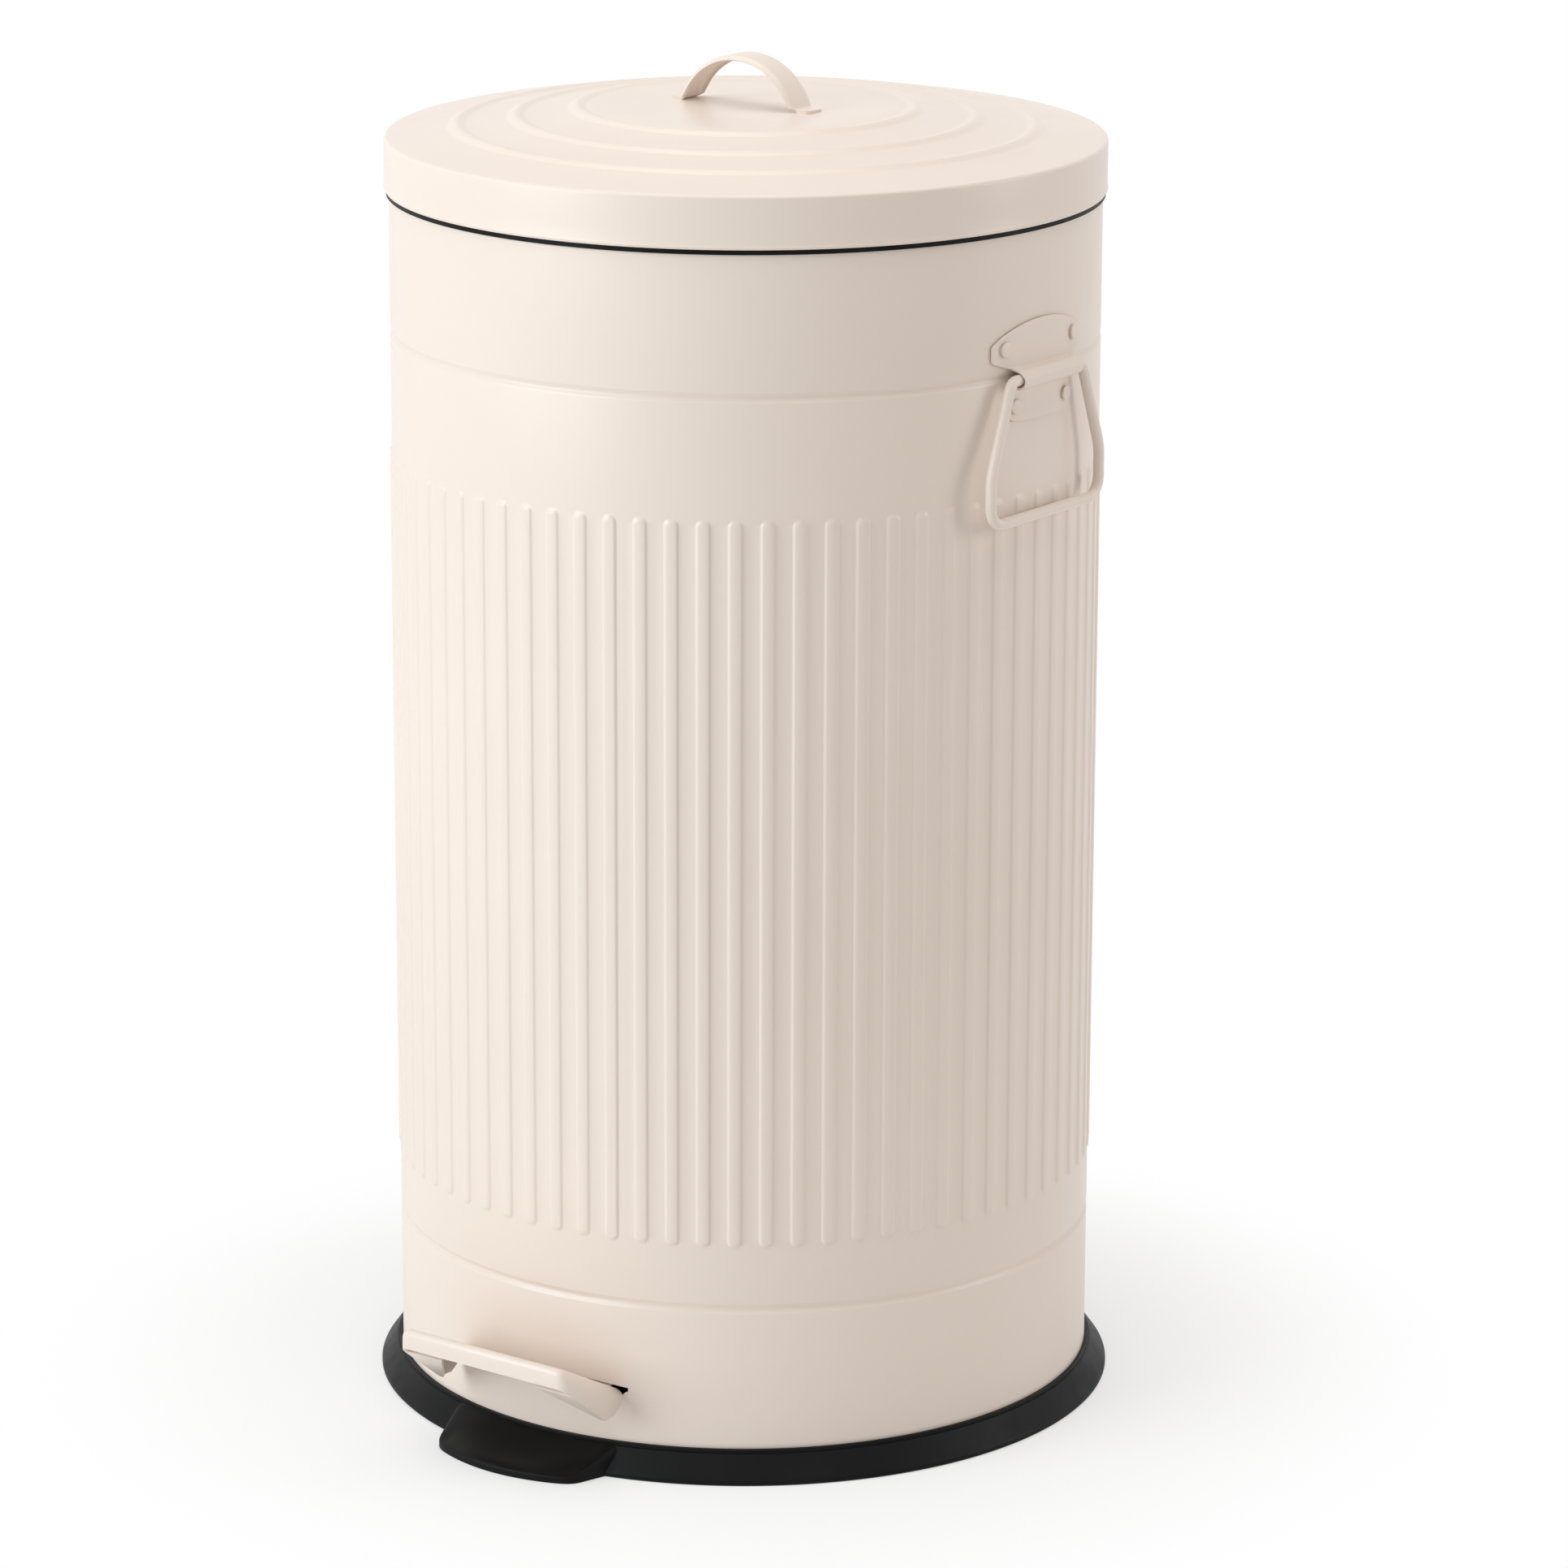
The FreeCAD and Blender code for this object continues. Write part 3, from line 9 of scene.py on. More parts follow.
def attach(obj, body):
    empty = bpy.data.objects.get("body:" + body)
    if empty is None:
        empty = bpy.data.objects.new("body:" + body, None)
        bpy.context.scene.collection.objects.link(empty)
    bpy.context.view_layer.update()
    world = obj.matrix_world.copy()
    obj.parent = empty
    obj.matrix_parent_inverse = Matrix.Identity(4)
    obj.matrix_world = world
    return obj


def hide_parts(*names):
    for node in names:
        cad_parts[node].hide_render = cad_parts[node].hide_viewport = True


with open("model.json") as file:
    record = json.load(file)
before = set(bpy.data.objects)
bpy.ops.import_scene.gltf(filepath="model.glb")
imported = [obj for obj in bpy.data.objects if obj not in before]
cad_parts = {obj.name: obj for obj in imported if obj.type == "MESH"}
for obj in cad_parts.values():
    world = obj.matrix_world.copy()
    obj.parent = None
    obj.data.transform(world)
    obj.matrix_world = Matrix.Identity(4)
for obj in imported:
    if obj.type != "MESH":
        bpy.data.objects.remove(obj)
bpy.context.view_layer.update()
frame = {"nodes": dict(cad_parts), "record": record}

# The object's lengths are millimetres, as in the part's own sizes, and its meshes are made in metres.
# The stage's lengths are metres. Angles are degrees unless a comment says radians.
MM = 0.001
MERGE = 0.001
ROUND_STEPS = 360

# Driving dimensions
CAN_RADIUS = 163.0
CAN_TOP = 565.0
PAN_HEIGHT = 14.5
PEDAL_HALF = 48.5
NOSE_TOP = 63.0
BEND_TOP = 36.0

# Pedal: its top is BEND_TOP high where the sloping tread bends level, and NOSE_TOP at its front edge
PEDAL_SHEET = 2.0
PEDAL_ROUND = 5.4
PEDAL_ROUND_STEPS = 6
PEDAL_EDGE = 0.9
FOLD_MERGE = 0.01
FLANGE_MERGE = 0.05
PEDAL_BACK = 6.2 - CAN_RADIUS
NOSE_Y = -38.0 - CAN_RADIUS
BEND_Y = 13.0 - CAN_RADIUS
LIP_LOW = NOSE_TOP - 10.7
# The webs' lower corner and the heel behind it, as Y and Z
WEB_TIP = (NOSE_Y + 29.8, BEND_TOP - 7.0)
HEEL = ((WEB_TIP[0] + 6.7, WEB_TIP[1] + 0.8), (WEB_TIP[0] + 11.0, WEB_TIP[1] + 3.6),
        (PEDAL_BACK, WEB_TIP[1] + 8.4))
UNTRIMMED_LOW = 10.0
FLANGE_FRONT_HALF = 27.0
FLANGE_TIP_WIDTH = 2.5
TREAD_HALF = PEDAL_HALF - 8.5
TREAD_END = BEND_Y - 5.5
NECK_HALF = 24.0
TONGUE_HALF = 11.0
TONGUE_START = BEND_Y + 4.0
TONGUE_END = BEND_Y + 18.5

# Can
CAN_WALL = 1.0
CAN_FOOT = 3.5
GROOVES = (81.5, CAN_TOP - 63.5)
GROOVE_HALF = 2.7
GROOVE_DEPTH = 1.1
GROOVE_STEPS = 6
RIB_COUNT = 72
# The angle from rib to rib in radians
RIB_PITCH = 2 * math.pi / RIB_COUNT
RIB_HALF = 3.7
RIB_FLANK = 1.6
RIB_HEIGHT = 0.8
RIB_LOW = GROOVES[0] + 29.0
RIB_HIGH = GROOVES[1] - 54.0
RIB_FLANK_STEPS = 4
RIB_END_STEPS = 8
RIB_LENGTH_STEPS = 6
SLIT_HALF = PEDAL_HALF + 0.9
SLIT_LOW = BEND_TOP - 4.6
SLIT_HIGH = BEND_TOP + 4.4
SLIT_RISE = 3.08
# The slit's lower corners rise over the last share of its half-length
SLIT_CORNER = 7.0
SLIT_CORNER_SHARE = 0.16
SLIT_CORNER_STEPS = 8

# Lid
LID_RADIUS = CAN_RADIUS + 2.0
LID_SHEET = 1.0
LID_LOW = CAN_TOP + 2.2
LID_EDGE = CAN_TOP + 26.0
LID_CROWN = LID_EDGE + 13.0
LID_CORNER = 1.8
LID_CORNER_TURN = 86
LID_CORNER_STEPS = 8
INNER_CORNER_STEPS = 5
# The radii of the three raised rings, of the flat crown inside them, and of rows on plain stretches
BEADS = (LID_RADIUS - 88.0, LID_RADIUS - 60.0, LID_RADIUS - 33.0)
CROWN_RADIUS = BEADS[0] - 6.0
PLAIN_RADII = (150.0, 90.0, 60.0, 30.0, 12.0, 3.0, 0.0)
BEAD_HALF = 5.0
BEAD_HEIGHT = 1.3
BEAD_STEPS = 8
# The rolled hem round the skirt's lower edge
HEM_HEIGHT = 1.0
HEM_RADIUS = 0.4
HEM_SINK = 0.1
HEM_TURN = 60
HEM_STEPS = 5
HEM_INSET = 0.3
SKIRT_ROW = 9.0

# Strap handle on the lid
STRAP_HALF = 32.5
STRAP_RISE = 23.4
STRAP_FOOT = 6.5
STRAP_SHEET = 1.4
STRAP_WIDTH = 18.0
STRAP_EDGE = 3.5
STRAP_BEND = 2.4
STRAP_BEND_STEPS = 6
STRAP_ARCH_STEPS = 36
# From the tip of a foot inwards: distance from the tip, and share of the strap's width
FOOT_INSETS = (0.0, 0.4, 1.4, 2.6)
FOOT_WIDTHS = (0.72, 0.86, 0.96, 1.0)
# The strap's edges turn down from the bend on, over a few rows
FOOT_TURN = 4.0
ARCH_TURN = 65.0
TURN_FROM = 5
TURN_ROWS = 8
TURN_STEPS = 6

# Drop handles: the wire's axis, and heights measured from it
HANDLE_X = CAN_RADIUS + 3.7
HANDLE_Z = GROOVES[1] - 1.0
TUNNEL = 4.3
TUNNEL_HALF = 22.5
TUNNEL_RAMP = 5.0
TUNNEL_END = -88.0
TUNNEL_STEPS = 14
RAMP_STEPS = 5
PLATE_SHEET = 1.2
PLATE_FACE = CAN_RADIUS + PLATE_SHEET
PLATE_DRAWN_SHEET = 0.7 * PLATE_SHEET
PLATE_EDGE = 0.35
PLATE_COLUMNS = 40
PLATE_HALF = TUNNEL_HALF + 12.0
PLATE_CROWN = 8.5
PLATE_TOP = 25.0
# Rows up the plate's arched top, the last of them just short of its middle
PLATE_ARC_HALF = PLATE_HALF - 2.5
PLATE_ARC_STEPS = 8
PLATE_ARC_PARTS = 8.4
TAB_HALF = TUNNEL_HALF + 0.5
TAB_LOW = -20.2
# Rows of the plate's outline as height and half-width: from the tab's lower edge, from the wire's
# axis below the tunnel, from the ramp's top, and from the wire's axis up to the crown
TAB_ROUND = ((0.0, 8.0), (0.3, 14.0), (0.9, 20.5), (1.8, 22.6), (3.2, TAB_HALF))
TAB_SIDE = ((-12.0, TAB_HALF), (-8.0, TAB_HALF), (-TUNNEL - 1.0, 22.8), (-TUNNEL - 0.1, TUNNEL_HALF))
EAR = ((0.0, 24.2), (0.6, 26.4), (1.5, 29.2), (2.5, 32.2), (3.4, 33.8), (4.5, PLATE_HALF))
PLATE_SIDE = ((12.5, PLATE_HALF), (15.0, PLATE_HALF), (16.0, 34.1), (16.9, 32.6))

# Rivets of the drop handles: distance from the plate's middle and height from the wire's axis, then sizes
RIVETS = ((26.3, 13.8), (19.3, -12.7))
RIVET_STEPS = 40
RIVET_SHANK = 2.0
RIVET_HEAD = 3.4
RIVET_NECK = 2.7
RIVET_TOP = 1.6
RIVET_FLAT = 2.6
RIVET_TAIL = 2.8
RIVET_PLAY = 0.05
TAIL_SHEET = 1.0
RIM_ROUND = 0.5
RIM_DROP = 0.55
RIM_TURN = 80
RIM_STEPS = 8

# Base
SEAT_RADIUS = CAN_RADIUS + 0.1
PAN_RADIUS = CAN_RADIUS + 10.3
PAN_FOOT = PAN_RADIUS - 0.8
PAN_LIP = SEAT_RADIUS + 1.6
# The ring's low outer edge as inset and height, and its crest as outset from the lip and drop
PAN_EDGE = ((0.0, 0.8), (0.0, 1.8), (0.3, 2.6), (0.9, 3.4))
PAN_CREST = ((1.0, 1.7), (0.2, 1.5), (0.0, 0.0))
SCREW_COUNT = 4
SCREW_CIRCLE = CAN_RADIUS - 13.0
SCREW_BAND = 10.0
SCREW_STEPS = 48
SINK_RADIUS = 3.7
SINK_DEPTH = 2.0

# Guard in front of the base: fronts, corners and backs are distances forward from the can's middle
GUARD_FRONT = CAN_RADIUS + 31.3
GUARD_CORNER = CAN_RADIUS + 21.8
GUARD_FOOT_BACK = CAN_RADIUS - 2.0
GUARD_HALF = PEDAL_HALF - 9.0
GUARD_ROOT = PEDAL_HALF - 1.5
TROUGH_HALF = GUARD_ROOT - 2.0
TROUGH_TAPER = 9.0
TROUGH_BACK = CAN_RADIUS - 6.5
TROUGH_CORNER = GUARD_CORNER - 3.5
TROUGH_FRONT = GUARD_FRONT - 2.4
TROUGH_TOP = PAN_HEIGHT - 0.3
TROUGH_FALL = 9.6
TROUGH_FALL_POWER = 1.1
TROUGH_HOLLOW = 2.4
GUARD_COLUMNS = 24
GUARD_ROWS = 14
GUARD_SOFTENING = 5
GUARD_LIFT = 0.3
# Down the walls: share of the way out to the foot, and share of the drop
GUARD_WALL = ((0.5, 0.12), (0.85, 0.22), (0.96, 0.3), (1.0, 0.42), (1.0, 1.0))

# Camera: its turns are in radians, its lens and sensor in millimetres
VIEW_TURN = math.radians(36.5)
VIEW_AWAY = 2.86114
VIEW_HEIGHT = 1.06605
VIEW_DOWN = 0.2670015
VIEW_YAW = -0.0064022
VIEW_ROLL = 0.0034492
VIEW_LENS = 145.34
VIEW_SENSOR = 36.0
VIEW_CLIP = 50.0

# Stage: the floor turns white between two distances from the object's middle; nearer, a painted shade keeps
# it greyer round the base, over its real shadow
LAMP_AIM = Vector((0.0, 0.0, 0.32))
FILL_COLOUR = (1.0, 0.975, 0.945, 1.0)
FILL_STRENGTH = 0.39
FLOOR_HALF = 12.0
# the floor's painted shade round the base: its fade distances and the white share nearest the object
FLOOR_PAINTED_SHADE_FADE = (0.17, 0.36)
FLOOR_WHITE_IN_PAINTED_SHADE = 0.54
WHITE = (1.0, 1.0, 1.0)

# Finishes: the band of a noise that carries a change, and the depth of all grain in metres
BLEND_BAND = (0.35, 0.65)
SPREAD_BAND = (0.3, 0.7)
GRAIN_DEPTH = 0.0002


# Shapes

def smooth_step(share):
    """From 0 to 1 with soft ends."""
    share = min(max(share, 0.0), 1.0)
    return share * share * (3.0 - 2.0 * share)


def bell(share):
    """1 in the middle, 0 at -1 and 1, with soft ends."""
    return 0.5 + 0.5 * math.cos(math.pi * min(abs(share), 1.0))


def shade_smooth(mesh, sharp_angle):
    mesh.polygons.foreach_set("use_smooth", [True] * len(mesh.polygons))
    mesh.set_sharp_from_angle(angle=math.radians(sharp_angle))


def add_object(name, data):
    thing = bpy.data.objects.new(name, data)
    bpy.context.scene.collection.objects.link(thing)
    return thing


def make_piece(name, points, faces, sharp_angle):
    """A piece from points and faces, with its doubled points merged and its faces turned outwards."""
    mesh = bpy.data.meshes.new(name)
    mesh.from_pydata([(x * MM, y * MM, z * MM) for x, y, z in points], [], faces)
    work = bmesh.new()
    work.from_mesh(mesh)
    bmesh.ops.remove_doubles(work, verts=work.verts, dist=MERGE * MM)
    bmesh.ops.recalc_face_normals(work, faces=work.faces)
    work.to_mesh(mesh)
    work.free()
    shade_smooth(mesh, sharp_angle)
    return add_object(name, mesh)


def grid_faces(rows, columns, wrap_columns=False, wrap_rows=False):
    """Faces between points that are listed row by row."""
    faces = []
    for row in range(rows if wrap_rows else rows - 1):
        here = row * columns
        above = (row + 1) % rows * columns
        for column in range(columns if wrap_columns else columns - 1):
            beside = (column + 1) % columns
            faces.append((here + column, here + beside, above + beside, above + column))
    return faces


def lathe(name, profile, sharp_angle):
    """A closed profile of radius and height turned round Z."""
    points = []
    for step in range(ROUND_STEPS):
        angle = 2 * math.pi * step / ROUND_STEPS
        points += [(radius * math.cos(angle), radius * math.sin(angle), height) for radius, height in profile]
    faces = grid_faces(ROUND_STEPS, len(profile), wrap_columns=True, wrap_rows=True)
    return make_piece(name, points, faces, sharp_angle)


def arc_points(centre, radius, first, last, count):
    angles = [math.radians(first + (last - first) * step / count) for step in range(count + 1)]
    return [(centre[0] + radius * math.cos(angle), centre[1] + radius * math.sin(angle)) for angle in angles]


def add_thickness(piece, thickness):
    """Thicken a sheet inwards from its outer face."""
    modifier = piece.modifiers.new("thickness", "SOLIDIFY")
    modifier.thickness = thickness * MM
    modifier.offset = -1.0
    modifier.use_even_offset = True


def add_round_edges(piece, width, steps, angle):
    modifier = piece.modifiers.new("round edges", "BEVEL")
    modifier.width = width * MM
    modifier.segments = steps
    modifier.limit_method = "ANGLE"
    modifier.angle_limit = math.radians(angle)


def apply_modifiers(piece, sharp_angle=40.0):
    """Turn a piece's modifiers into mesh and shade it again with the new edges."""
    graph = bpy.context.evaluated_depsgraph_get()
    mesh = bpy.data.meshes.new_from_object(piece.evaluated_get(graph))
    piece.modifiers.clear()
    piece.data = mesh
    shade_smooth(mesh, sharp_angle)


def settle(piece, body, node, material):
    """The piece stands for a CAD node, rides on its body and takes its finish."""
    piece.data.materials.clear()
    piece.data.materials.append(material)
    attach(piece, body)
    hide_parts(node)


# Materials

def new_material(name):
    material = bpy.data.materials.new(name)
    material.use_nodes = True
    tree = material.node_tree
    return material, tree, tree.nodes["Principled BSDF"]


def noise(tree, scale, detail=2.0):
    place = tree.nodes.new("ShaderNodeTexCoord")
    texture = tree.nodes.new("ShaderNodeTexNoise")
    texture.inputs["Scale"].default_value = scale
    texture.inputs["Detail"].default_value = detail
    tree.links.new(place.outputs["Object"], texture.inputs["Vector"])
    return texture.outputs["Fac"]


def blend_colours(tree, factor, colours):
    ramp = tree.nodes.new("ShaderNodeValToRGB")
    for element, position, colour in zip(ramp.color_ramp.elements, BLEND_BAND, colours):
        element.position = position
        element.color = (*colour, 1.0)
    tree.links.new(factor, ramp.inputs["Fac"])
    return ramp.outputs["Color"]


def spread(tree, factor, low, high):
    reach = tree.nodes.new("ShaderNodeMapRange")
    reach.inputs["From Min"].default_value, reach.inputs["From Max"].default_value = SPREAD_BAND
    reach.inputs["To Min"].default_value = low
    reach.inputs["To Max"].default_value = high
    tree.links.new(factor, reach.inputs["Value"])
    return reach.outputs["Result"]


def add_grain(tree, shader, height, strength):
    bump = tree.nodes.new("ShaderNodeBump")
    bump.inputs["Strength"].default_value = strength
    bump.inputs["Distance"].default_value = GRAIN_DEPTH
    tree.links.new(height, bump.inputs["Height"])
    tree.links.new(bump.outputs["Normal"], shader.inputs["Normal"])


def make_finish(name, clouds, colours, wear, roughness, grain, strength):
    """Clouded colour, uneven roughness and a fine grain.

    Clouds is the scale of a noise, with its detail where that isn't the usual one. Wear and grain are scales.
    """
    material, tree, shader = new_material(name)
    tree.links.new(blend_colours(tree, noise(tree, *clouds), colours), shader.inputs["Base Color"])
    tree.links.new(spread(tree, noise(tree, wear), *roughness), shader.inputs["Roughness"])
    add_grain(tree, shader, noise(tree, grain), strength)
    return material, shader


def cream_paint():
    material, shader = make_finish("cream_paint", clouds=(6.0, 3.0), wear=40.0, grain=1600.0, strength=0.05,
                                   colours=((0.768, 0.660, 0.580), (0.784, 0.676, 0.597)),
                                   roughness=(0.30, 0.35))
    shader.inputs["IOR"].default_value = 1.45
    return material


def black_plastic():
    material, shader = make_finish("black_plastic", clouds=(30.0,), wear=90.0, grain=2200.0, strength=0.12,
                                   colours=((0.0022, 0.0022, 0.0024), (0.0040, 0.0040, 0.0043)),
                                   roughness=(0.42, 0.50))
    shader.inputs["Specular IOR Level"].default_value = 0.12
    return material


def zinc_steel():
    material, shader = make_finish("zinc_steel", clouds=(60.0, 4.0), wear=120.0, grain=900.0, strength=0.05,
                                   colours=((0.36, 0.37, 0.38), (0.50, 0.51, 0.52)),
                                   roughness=(0.32, 0.46))
    shader.inputs["Metallic"].default_value = 1.0
    return material


def grey_plastic():
    material, _ = make_finish("bucket_plastic", clouds=(25.0,), wear=70.0, grain=1500.0, strength=0.10,
                              colours=((0.020, 0.020, 0.021), (0.027, 0.027, 0.028)),
                              roughness=(0.48, 0.58))
    return material


def nylon():
    material, _ = make_finish("bush_plastic", clouds=(80.0,), wear=200.0, grain=1800.0, strength=0.06,
                              colours=((0.60, 0.58, 0.52), (0.66, 0.64, 0.58)),
                              roughness=(0.40, 0.50))
    return material


# Can

def can_radius(angle, height):
    """The can's outer radius with its rolled grooves and pressed ribs; the angle is in radians."""
    radius = CAN_RADIUS
    for groove in GROOVES:
        radius -= GROOVE_DEPTH * bell((height - groove) / GROOVE_HALF)
    aside = CAN_RADIUS * (angle - RIB_PITCH * round(angle / RIB_PITCH))
    past = max(height - (RIB_HIGH - RIB_HALF), (RIB_LOW + RIB_HALF) - height, 0.0)
    return radius + RIB_HEIGHT * smooth_step((RIB_HALF - math.hypot(aside, past)) / RIB_FLANK)


def can_rows():
    """Heights of the can's rows of points, close together in the grooves and at the ribs' round ends."""
    heights = [CAN_FOOT, SLIT_LOW, SLIT_HIGH, CAN_TOP]
    groove_steps = range(-GROOVE_STEPS, GROOVE_STEPS + 1)
    for groove in GROOVES:
        heights += [groove + GROOVE_HALF * step / GROOVE_STEPS for step in groove_steps]
    for end, way in ((RIB_LOW, 1), (RIB_HIGH, -1)):
        heights += [end + way * RIB_HALF * step / RIB_END_STEPS for step in range(-1, RIB_END_STEPS + 1)]
    length = RIB_HIGH - RIB_LOW
    heights += [RIB_LOW + length * step / RIB_LENGTH_STEPS for step in range(1, RIB_LENGTH_STEPS)]
    return sorted(heights)


def can_columns():
    """Angles round the can in radians, close together on the flanks of each rib and at the slit's ends."""
    half_pitch = math.pi * CAN_RADIUS / RIB_COUNT
    flank = [RIB_HALF - RIB_FLANK + RIB_FLANK * step / RIB_FLANK_STEPS for step in range(RIB_FLANK_STEPS + 1)]
    asides = [-aside for aside in reversed(flank)] + [0.0] + flank + [half_pitch]
    columns = [rib * RIB_PITCH + aside / CAN_RADIUS for rib in range(RIB_COUNT) for aside in asides]
    slit_end = math.asin(SLIT_HALF / CAN_RADIUS)
    shares = [SLIT_CORNER_SHARE * step / SLIT_CORNER_STEPS for step in range(SLIT_CORNER_STEPS + 1)]
    ends = [slit_end * (1.0 - share) for share in shares]
    return sorted(columns + ends + [2 * math.pi - end for end in ends])


def slit_edge(height, angle):
    """The slit's long edges rise to the middle, where the pedal's sloping tread meets the round wall."""
    share = abs(CAN_RADIUS * math.sin(angle) / SLIT_HALF)
    if math.cos(angle) < 0 or share > 1.0:
        return height
    corner = 0.0
    if height == SLIT_LOW:
        corner = SLIT_CORNER * smooth_step((share - 1.0 + SLIT_CORNER_SHARE) / SLIT_CORNER_SHARE)
    return height + SLIT_RISE * (1.0 - share * share) + corner


def make_can():
    rows = can_rows()
    columns = can_columns()
    points = []
    for height in rows:
        on_slit = height in (SLIT_LOW, SLIT_HIGH)
        for angle in columns:
            radius = can_radius(angle, height)
            level = slit_edge(height, angle) if on_slit else height
            points.append((radius * math.sin(angle), -radius * math.cos(angle), level))
    faces = []
    for face in grid_faces(len(rows), len(columns), wrap_columns=True):
        across, along = [sum(points[corner][axis] for corner in face) / len(face) for axis in (0, 1)]
        above_slit_low = rows[face[0] // len(columns)] == SLIT_LOW
        if not (above_slit_low and abs(across) < SLIT_HALF and along < 0):
            faces.append(face)
    piece = make_piece("can", points, faces, sharp_angle=60.0)
    add_thickness(piece, CAN_WALL)
    apply_modifiers(piece)
    return piece


# Lid and strap

def lid_height(radius):
    """Height of the lid's top face: a cone up to the flat crown, with three raised rings."""
    shoulder = LID_RADIUS - LID_CORNER
    share = min((shoulder - radius) / (shoulder - CROWN_RADIUS), 1.0)
    height = LID_EDGE + (LID_CROWN - LID_EDGE) * share
    return height + sum(BEAD_HEIGHT * bell((radius - bead) / BEAD_HALF) for bead in BEADS)


def make_lid():
    """The lid's section runs up the skirt from its hem, over the top to the middle and back inside."""
    shoulder = LID_RADIUS - LID_CORNER
    corner = (shoulder, LID_EDGE - LID_CORNER)
    outer = [(LID_RADIUS, LID_LOW + HEM_HEIGHT / 2)]
    hem_middle = (LID_RADIUS - HEM_SINK, LID_LOW + HEM_HEIGHT)
    outer += arc_points(hem_middle, HEM_RADIUS, -HEM_TURN, HEM_TURN, HEM_STEPS)
    outer += [(LID_RADIUS, LID_LOW + 2 * HEM_HEIGHT), (LID_RADIUS, LID_LOW + SKIRT_ROW)]
    outer += arc_points(corner, LID_CORNER, 0, LID_CORNER_TURN, LID_CORNER_STEPS)
    radii = {shoulder - LID_SHEET, CROWN_RADIUS, *PLAIN_RADII}
    for bead in BEADS:
        radii |= {bead + BEAD_HALF * step / BEAD_STEPS for step in range(-BEAD_STEPS, BEAD_STEPS + 1)}
    top = [(radius, lid_height(radius)) for radius in sorted(radii, reverse=True)]
    under = [(radius, height - LID_SHEET) for radius, height in reversed(top)]
    inner = arc_points(corner, LID_CORNER - LID_SHEET, LID_CORNER_TURN, 0, INNER_CORNER_STEPS)
    low = [(LID_RADIUS - LID_SHEET, LID_LOW), (LID_RADIUS - HEM_INSET, LID_LOW)]
    return lathe("lid", outer + top + under + inner + low, sharp_angle=50.0)


def strap_path():
    """Middle line of the strap handle in X and Z, with soft bends at its feet."""
    bow = (STRAP_HALF ** 2 + STRAP_RISE ** 2) / (2 * STRAP_RISE) - STRAP_SHEET / 2
    centre = (0.0, LID_CROWN + STRAP_RISE - STRAP_SHEET / 2 - bow)
    foot_z = LID_CROWN + STRAP_SHEET / 2
    start = math.degrees(math.asin((foot_z + STRAP_BEND - centre[1]) / (bow + STRAP_BEND)))
    corner = ((bow + STRAP_BEND) * math.cos(math.radians(start)), foot_z + STRAP_BEND)
    right = [(STRAP_HALF + STRAP_FOOT - inset, foot_z) for inset in FOOT_INSETS]
    right += arc_points(corner, STRAP_BEND, 270, 180 + start, STRAP_BEND_STEPS)
    arch = arc_points(centre, bow, start, 180 - start, STRAP_ARCH_STEPS)
    return right + arch + [(-x, z) for x, z in reversed(right)]


def mirrored(line):
    return [(-across, up) for across, up in reversed(line)]


def strap_section(turn):
    """Across and up points of the strap's section; its edges are turned down by an angle."""
    centre = (STRAP_WIDTH / 2 - STRAP_EDGE, STRAP_SHEET / 2 - STRAP_EDGE)
    outer = arc_points(centre, STRAP_EDGE, 90 - turn, 90, TURN_STEPS)
    inner = arc_points(centre, STRAP_EDGE - STRAP_SHEET, 90, 90 - turn, TURN_STEPS)
    over = outer + [(0.0, STRAP_SHEET / 2)] + mirrored(outer)
    return over + mirrored(inner) + [(0.0, -STRAP_SHEET / 2)] + inner


def make_strap():
    path = strap_path()
    count = len(path)
    points = []
    for index, (x, z) in enumerate(path):
        before = path[max(index - 1, 0)]
        after = path[min(index + 1, count - 1)]
        along = Vector((after[0] - before[0], after[1] - before[1])).normalized()
        normal = Vector((along.y, -along.x)) if along.x < 0 else Vector((-along.y, along.x))
        inward = min(index, count - 1 - index)
        turned = smooth_step((inward - TURN_FROM) / TURN_ROWS)
        section = strap_section(FOOT_TURN + (ARCH_TURN - FOOT_TURN) * turned)
        width = FOOT_WIDTHS[min(inward, len(FOOT_WIDTHS) - 1)]
        points += [(x + normal.x * up, across * width, z + normal.y * up) for across, up in section]
    faces = grid_faces(count, len(section), wrap_columns=True)
    last = (count - 1) * len(section)
    faces += [tuple(range(len(section))), tuple(range(last, last + len(section)))]
    return make_piece("strap", points, faces, sharp_angle=45.0)


# Drop handles

def tunnel_section():
    """Out and up from the wire's axis: back under the wire, round it, and up a flat ramp to the plate."""
    start = (PLATE_FACE - HANDLE_X, TUNNEL_RAMP)
    touch = math.atan2(start[1], start[0]) - math.acos(TUNNEL / math.hypot(*start))
    bend = arc_points((0.0, 0.0), TUNNEL, TUNNEL_END, math.degrees(touch), TUNNEL_STEPS)
    out, up = bend[-1]
    ramp = []
    for step in range(1, RAMP_STEPS):
        ramp.append((out + (start[0] - out) * step / RAMP_STEPS, up + (start[1] - up) * step / RAMP_STEPS))
    return bend + ramp


def plate_rows():
    """Stand-off from the wire's axis (None on the can's curve), height and half-width, from the tab up."""
    low = [(TAB_LOW + rise, half) for rise, half in TAB_ROUND]
    low += TAB_SIDE
    high = [(TUNNEL_RAMP + rise, half) for rise, half in EAR]
    high += PLATE_SIDE
    bow = (PLATE_HALF ** 2 + PLATE_CROWN ** 2) / (2 * PLATE_CROWN)
    for step in range(1, PLATE_ARC_STEPS + 1):
        across = PLATE_ARC_HALF * (1.0 - step / PLATE_ARC_PARTS)
        high.append((PLATE_TOP - bow + math.sqrt(bow ** 2 - across ** 2), across))
    rows = [(None, up, half) for up, half in low]
    rows += [(out, up, TUNNEL_HALF) for out, up in tunnel_section()]
    return rows + [(None, up, half) for up, half in high]


